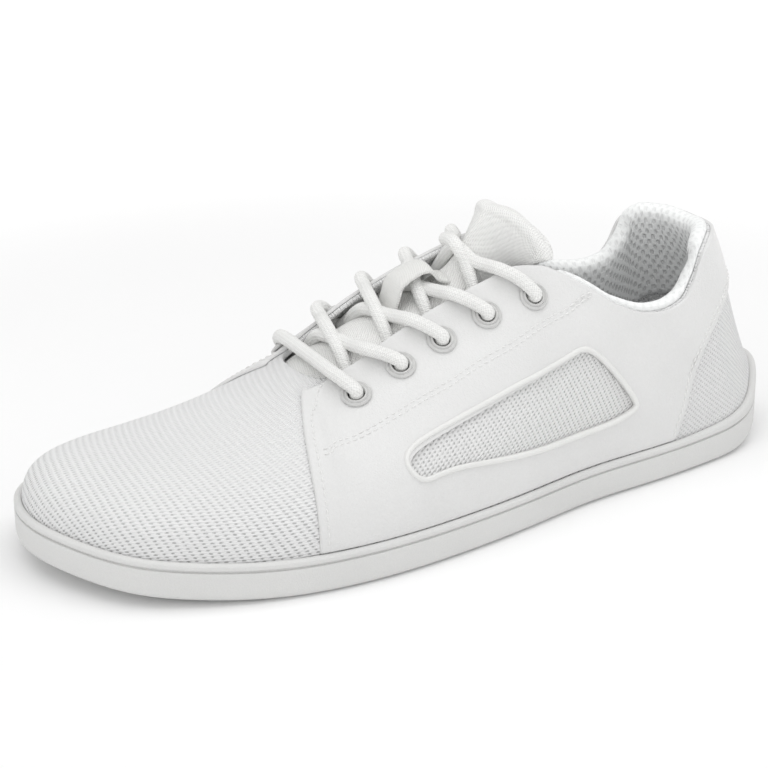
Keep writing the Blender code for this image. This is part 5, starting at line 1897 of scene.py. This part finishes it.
@dataclass(frozen=True)
class Laces:
    """Round braided lace: one bar and four crossings, run through the eyelets."""

    last: Last
    eyelets: EyeletRow
    diameter: float = 0.0046
    sides: int = 20
    step: float = 0.0007
    leather_top: float = 0.0014
    wall: float = 0.0016
    edge_back: float = 0.0008
    end_round: float = 0.0016
    turn_back: float = 0.0062
    through: tuple[float, ...] = (0.0040, 0.0012, -0.0030)
    low_level: float = 0.5
    high_level: float = 1.3
    weave: float = 0.035
    weave_turn: float = 3000.0

    def _over_tongue(self, tree: BVHTree, point: Array, level: float) -> Array:
        """The point moved out until a lace there clears the tongue."""
        place = Vector(point)
        hit = found_below(tree, place.x, place.y)
        if hit is not None:
            place.z = max(place.z, hit.z)
        for _ in range(3):
            spot, normal, _, _ = tree.find_nearest(place)
            normal = -normal if normal.z < 0.0 else normal
            short = self.diameter * level - (place - spot).dot(normal)
            if short > 0.0:
                place = place + normal * short
        return np.array(place)

    def _edge(self, angle: float, lift: float) -> Array:
        """Place at the leather's edge, lifted."""
        return self._at(angle, self.edge_back, lift)

    def _at(self, angle: float, back: float, lift: float) -> Array:
        """Place on a rib at a distance from the edge, lifted."""
        return self.last.lifted(angle, self.last.share_below(angle, back)[0], lift)[0]

    def _hole(self, side: Side, number: int, heights: Sequence[float]) -> list[Array]:
        """Places on the axis of an eyelet."""
        place, normal = self.eyelets.frames(side)[number]
        return [place + normal * height for height in heights]

    def _strand(self, tree: BVHTree, side: Side, number: int, level: float) -> list[Array]:
        """Route into an eyelet of one side from under the other side's edge.

        Args:
            tree: search tree of the tongue's face.
            side: side that the strand runs to.
            number: which eyelet, from the toe.
            level: height of its middle above the tongue, in diameters.

        Returns:
            The places on the route.
        """
        last, radius = self.last, self.diameter / 2.0
        other = Side.MEDIAL if side is Side.LATERAL else Side.LATERAL
        foot, previous = EYELET_FEET[number], EYELET_FEET[number - 1]
        far = float(last.angle_on(previous, other))
        below = -(self.wall + radius)
        route = self._hole(other, number - 1, (-0.004,))
        route.append(self._at(far, 0.006, below - 0.001))
        edge = self._edge(far, below)
        inward = np.array([side.value * 0.25 * last.throat_gap, 0.0006, 0.0])
        between = float(last.angle_on(0.5 * (foot + previous), side))
        bend = self._edge(between, self.leather_top + radius + 0.0006)
        start = self._over_tongue(tree, edge + inward, 0.5)
        route.append(start)
        for part in (0.25, 0.5, 0.75):
            place = start + (bend - start) * part
            rise = 0.5 + (level - 0.5) * math.sin(math.pi * part) ** 1.5
            route.append(self._over_tongue(tree, place, rise))
        toward = float(last.angle_on(0.25 * previous + 0.75 * foot, side))
        route.append(bend)
        route.append(self._at(toward, self.turn_back, self.leather_top + radius + 0.0009))
        return route + self._hole(side, number, self.through)

    def _tube(self, name: str, route: Sequence[Array], nodes: Sequence[str]) -> None:
        """Round cord along a route, rounded at both ends."""
        centre = path_through(route, self.step)
        for _ in range(2):
            centre[1:-1] = (centre[:-2] + 2.0 * centre[1:-1] + centre[2:]) / 4.0
        way = unit(np.gradient(centre, axis=0))
        normal = unit(np.cross(way[0], (0.0, 0.0, 1.0)))
        rings, cloth = [], []
        run = running(centre)
        angles = np.linspace(0.0, TURN, self.sides + 1)
        for point, ahead, length in zip(centre, way, run):
            normal = unit(normal - ahead * float(np.dot(normal, ahead)))
            other = np.cross(ahead, normal)
            end = min(length, run[-1] - length)
            radius = self.diameter / 2.0 * (0.35 + 0.65 * edge_round(end, self.end_round))
            turn = length * self.weave_turn
            winding = np.sin(4 * angles + turn) * np.sin(4 * angles - turn)
            reach = radius * (1.0 + self.weave * winding)
            rings.append(point + (normal * np.cos(angles)[:, None]
                                  + other * np.sin(angles)[:, None]) * reach[:, None])
            cloth.append(np.stack([angles / TURN, np.full(len(angles), length)], 1))
        faces = tube_faces(len(rings), self.sides + 1)
        item = make_piece(name, np.array(rings), faces, [CORD], np.array(cloth))
        tidy_mesh(item)
        seat(item, nodes)

    def build(self, tree: BVHTree) -> None:
        """Build the bar and the crossings."""
        self._bar(tree)
        for number in range(1, len(EYELET_FEET)):
            low = self._strand(tree, Side.LATERAL, number, self.low_level)
            high = self._strand(tree, Side.MEDIAL, number, self.high_level)
            self._tube("lace_low_%d" % number, low, ("lace_cross_%d" % number,))
            self._tube("lace_high_%d" % number, high, ())

    def _bar(self, tree: BVHTree) -> None:
        """Straight bar between the first pair of eyelets."""
        last, radius = self.last, self.diameter / 2.0
        lift = self.leather_top + radius + 0.0004
        halves = []
        for side in Side:
            edge = float(last.angle_on(0.676, side))
            near = float(last.angle_on(0.667, side))
            part = self._hole(side, 0, self.through[::-1])
            part += [self._at(near, self.turn_back, lift + 0.0006), self._edge(edge, lift)]
            halves.append(part)
        middle = self._over_tongue(tree, 0.5 * (halves[0][-1] + halves[1][-1]), 0.6)
        self._tube("lace_straight", halves[0] + [middle] + halves[1][::-1], ("lace_bar",))


@dataclass(frozen=True)
class Stitching:
    """Sewn rows on the leather."""

    last: Last
    pitch: float = 0.0026
    long: float = 0.0019
    wide: float = 0.00055
    surface: float = 0.00138
    double: float = 0.0011
    second_row: float = 0.0022
    rib: float = 0.09

    def _stitch(self) -> bpy.types.Object:
        """One thread stitch lying along x, sunk a little at its ends."""
        rows, columns = 7, 9
        points = []
        for part in np.linspace(-1.0, 1.0, rows):
            radius = self.wide / 2.0 * math.sqrt(max(1.0 - abs(part) ** 3, 0.06))
            for t in np.linspace(0.0, TURN, columns):
                height = radius * math.sin(t) + 0.0001 - 0.0002 * part * part
                points.append((part * self.long / 2.0, radius * math.cos(t), height))
        item = make_piece("stitch_pattern", np.array(points), tube_faces(rows, columns), [THREAD])
        tidy_mesh(item, 1e-7)
        return item

    def _row(self, angle: Array, share: Array) -> tuple[Array, Array, Array]:
        """Even places along a line on the upper.

        Args:
            angle: angles of the line's points.
            share: shares of the ribs at those points.

        Returns:
            Places, normals and the way ahead.
        """
        fine = np.linspace(0.0, 1.0, 600)
        keys = np.linspace(0.0, 1.0, len(angle))
        rows = Rows(keys, {"angle": angle, "share": share})
        line, normal = self.last.lifted(rows.at(fine, "angle"), rows.at(fine, "share"),
                                        self.surface)
        run = distances(line, 0)
        marks = np.arange(self.pitch / 2.0, run[-1], self.pitch)
        ahead = sampled(marks + 1e-4, run, line) - sampled(marks - 1e-4, run, line)
        return sampled(marks, run, line), unit(sampled(marks, run, normal)), unit(ahead)

    def build(self, repeater: Repeater) -> None:
        """Sew every row, one piece for each side."""
        pattern = self._stitch()
        for side in Side:
            rows = [self._line(table, side, shift) for table, shift in (
                (EYESTAY_SEAM, -self.double), (EYESTAY_SEAM, self.double),
                (FRONT_SEAM, 0.0), (BACK_SEAM, 0.0), (BACK_SEAM, self.second_row))]
            places, normals, ahead = (np.concatenate(part) for part in zip(*rows))
            item = repeater.lay("stitches_" + side.word, pattern, places, normals, ahead, THREAD)
            seat(item)
        bpy.data.objects.remove(pattern, do_unlink=True)

    def _line(self, table: Sequence[Sequence[float]], side: Side,
              shift: float) -> tuple[Array, Array, Array]:
        """A row along a table of feet and shares, moved up the ribs by a distance."""
        rows = np.array(table)
        angle = self.last.angle_on(rows[:, 0], side)
        return self._row(angle, rows[:, 1] + shift / self.rib)


EYESTAY_SEAM = (
    (0.720, 0.440), (0.695, 0.560), (0.639, 0.602), (0.584, 0.622), (0.540, 0.633),
    (0.498, 0.656), (0.441, 0.672), (0.378, 0.761), (0.335, 0.920), (0.322, 0.965),
)
FRONT_SEAM = (
    (0.729, 0.030), (0.7285, 0.20), (0.727, 0.378), (0.724, 0.521), (0.719, 0.64), (0.711, 0.76),
    (0.700, 0.88), (0.690, 0.95),
)
BACK_SEAM = (
    (0.214, 0.035), (0.206, 0.120), (0.196, 0.225), (0.184, 0.350), (0.168, 0.470),
    (0.146, 0.555), (0.105, 0.610), (0.060, 0.645), (0.020, 0.680), (0.002, 0.715),
)


LIGHTS = (
    ("top_light", (-0.10, -0.35, 1.30), 1.1, 4.8),
    ("toe_light", (0.55, -1.20, 0.75), 0.9, 2.4),
    ("heel_light", (0.15, 0.55, 1.20), 0.9, 3.8),
    ("side_light", (1.20, 0.10, 0.55), 0.9, 1.8),
)


@dataclass(frozen=True)
class Studio:
    """Pale floor, soft lights and the camera of the photograph."""

    azimuth: float = 59.19
    elevation: float = 21.62
    distance: float = 0.735
    target: tuple[float, float, float] = (-0.00182, 0.0, 0.045)
    focal_pixels: float = 2138.85
    centre: tuple[float, float] = (421.13, 368.01)
    frame: float = 768.0
    sensor: float = 36.0
    sky: float = 0.585
    floor: float = 6.0

    def build(self) -> None:
        """Build the floor, the lights, the world and the camera."""
        bpy.context.scene.view_settings.view_transform = "Standard"
        self._floor()
        self._camera()
        self._lights()

    def _floor(self) -> None:
        """Wide floor under the shoe."""
        reach = self.floor
        points = np.array([(-reach, -reach, 0.0), (reach, -reach, 0.0),
                           (reach, reach, 0.0), (-reach, reach, 0.0)])
        item = make_piece("studio_floor", points, [(0, 1, 2, 3)], [FLOOR_PAINT])

    def _camera(self) -> None:
        """Camera at the photograph's angle and distance."""
        az, el = math.radians(self.azimuth), math.radians(self.elevation)
        back = Vector((math.sin(az) * math.cos(el), -math.cos(az) * math.cos(el), math.sin(el)))
        lens = bpy.data.cameras.new("camera")
        lens.sensor_width = self.sensor
        lens.lens = self.focal_pixels * self.sensor / self.frame
        lens.shift_x = (self.frame / 2.0 - self.centre[0]) / self.frame
        lens.shift_y = (self.centre[1] - self.frame / 2.0) / self.frame
        lens.clip_start = 0.01
        item = placed("camera", lens)
        item.location = Vector(self.target) + back * self.distance
        item.rotation_euler = back.to_track_quat("Z", "Y").to_euler()
        bpy.context.scene.camera = item

    def _area(self, name: str, place: tuple[float, float, float], size: float,
              power: float) -> None:
        """Square soft light that looks at the shoe."""
        lamp = bpy.data.lights.new(name, "AREA")
        lamp.size = size
        lamp.energy = power
        item = placed(name, lamp)
        item.location = place
        back = Vector(place) - Vector(self.target)
        item.rotation_euler = back.to_track_quat("Z", "Y").to_euler()

    def _lights(self) -> None:
        """Soft lights from above, the toe, the heel and the side, and a white world."""
        for name, place, size, power in LIGHTS:
            self._area(name, place, size, power)
        world = bpy.data.worlds.new("studio")
        world.use_nodes = True
        sky = world.node_tree.nodes["Background"]
        sky.inputs["Color"].default_value = (1.0, 1.0, 1.0, 1.0)
        sky.inputs["Strength"].default_value = self.sky
        bpy.context.scene.world = world


def main() -> None:
    """Build the shoe's looks in order."""
    logging.basicConfig(level=logging.INFO, format="%(message)s")
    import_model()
    last = Last()
    studio = Studio()
    studio.build()
    eyelets = EyeletRow(last)
    window = WindowShape(last)
    repeater = Repeater()
    Sole(last).build()
    upper = Upper(last, eyelets, window)
    upper.build()
    CollarPad(last).build()
    under = last.tree(-(upper.wall + last.gap))
    tongue = Tongue(last)
    tongue.build(under)
    over = tongue.tree(under)
    eyelets.build(repeater)
    Laces(last, eyelets).build(over)
    tongue.keeper(over)
    Stitching(last).build(repeater)


if __name__ == "__main__":
    main()
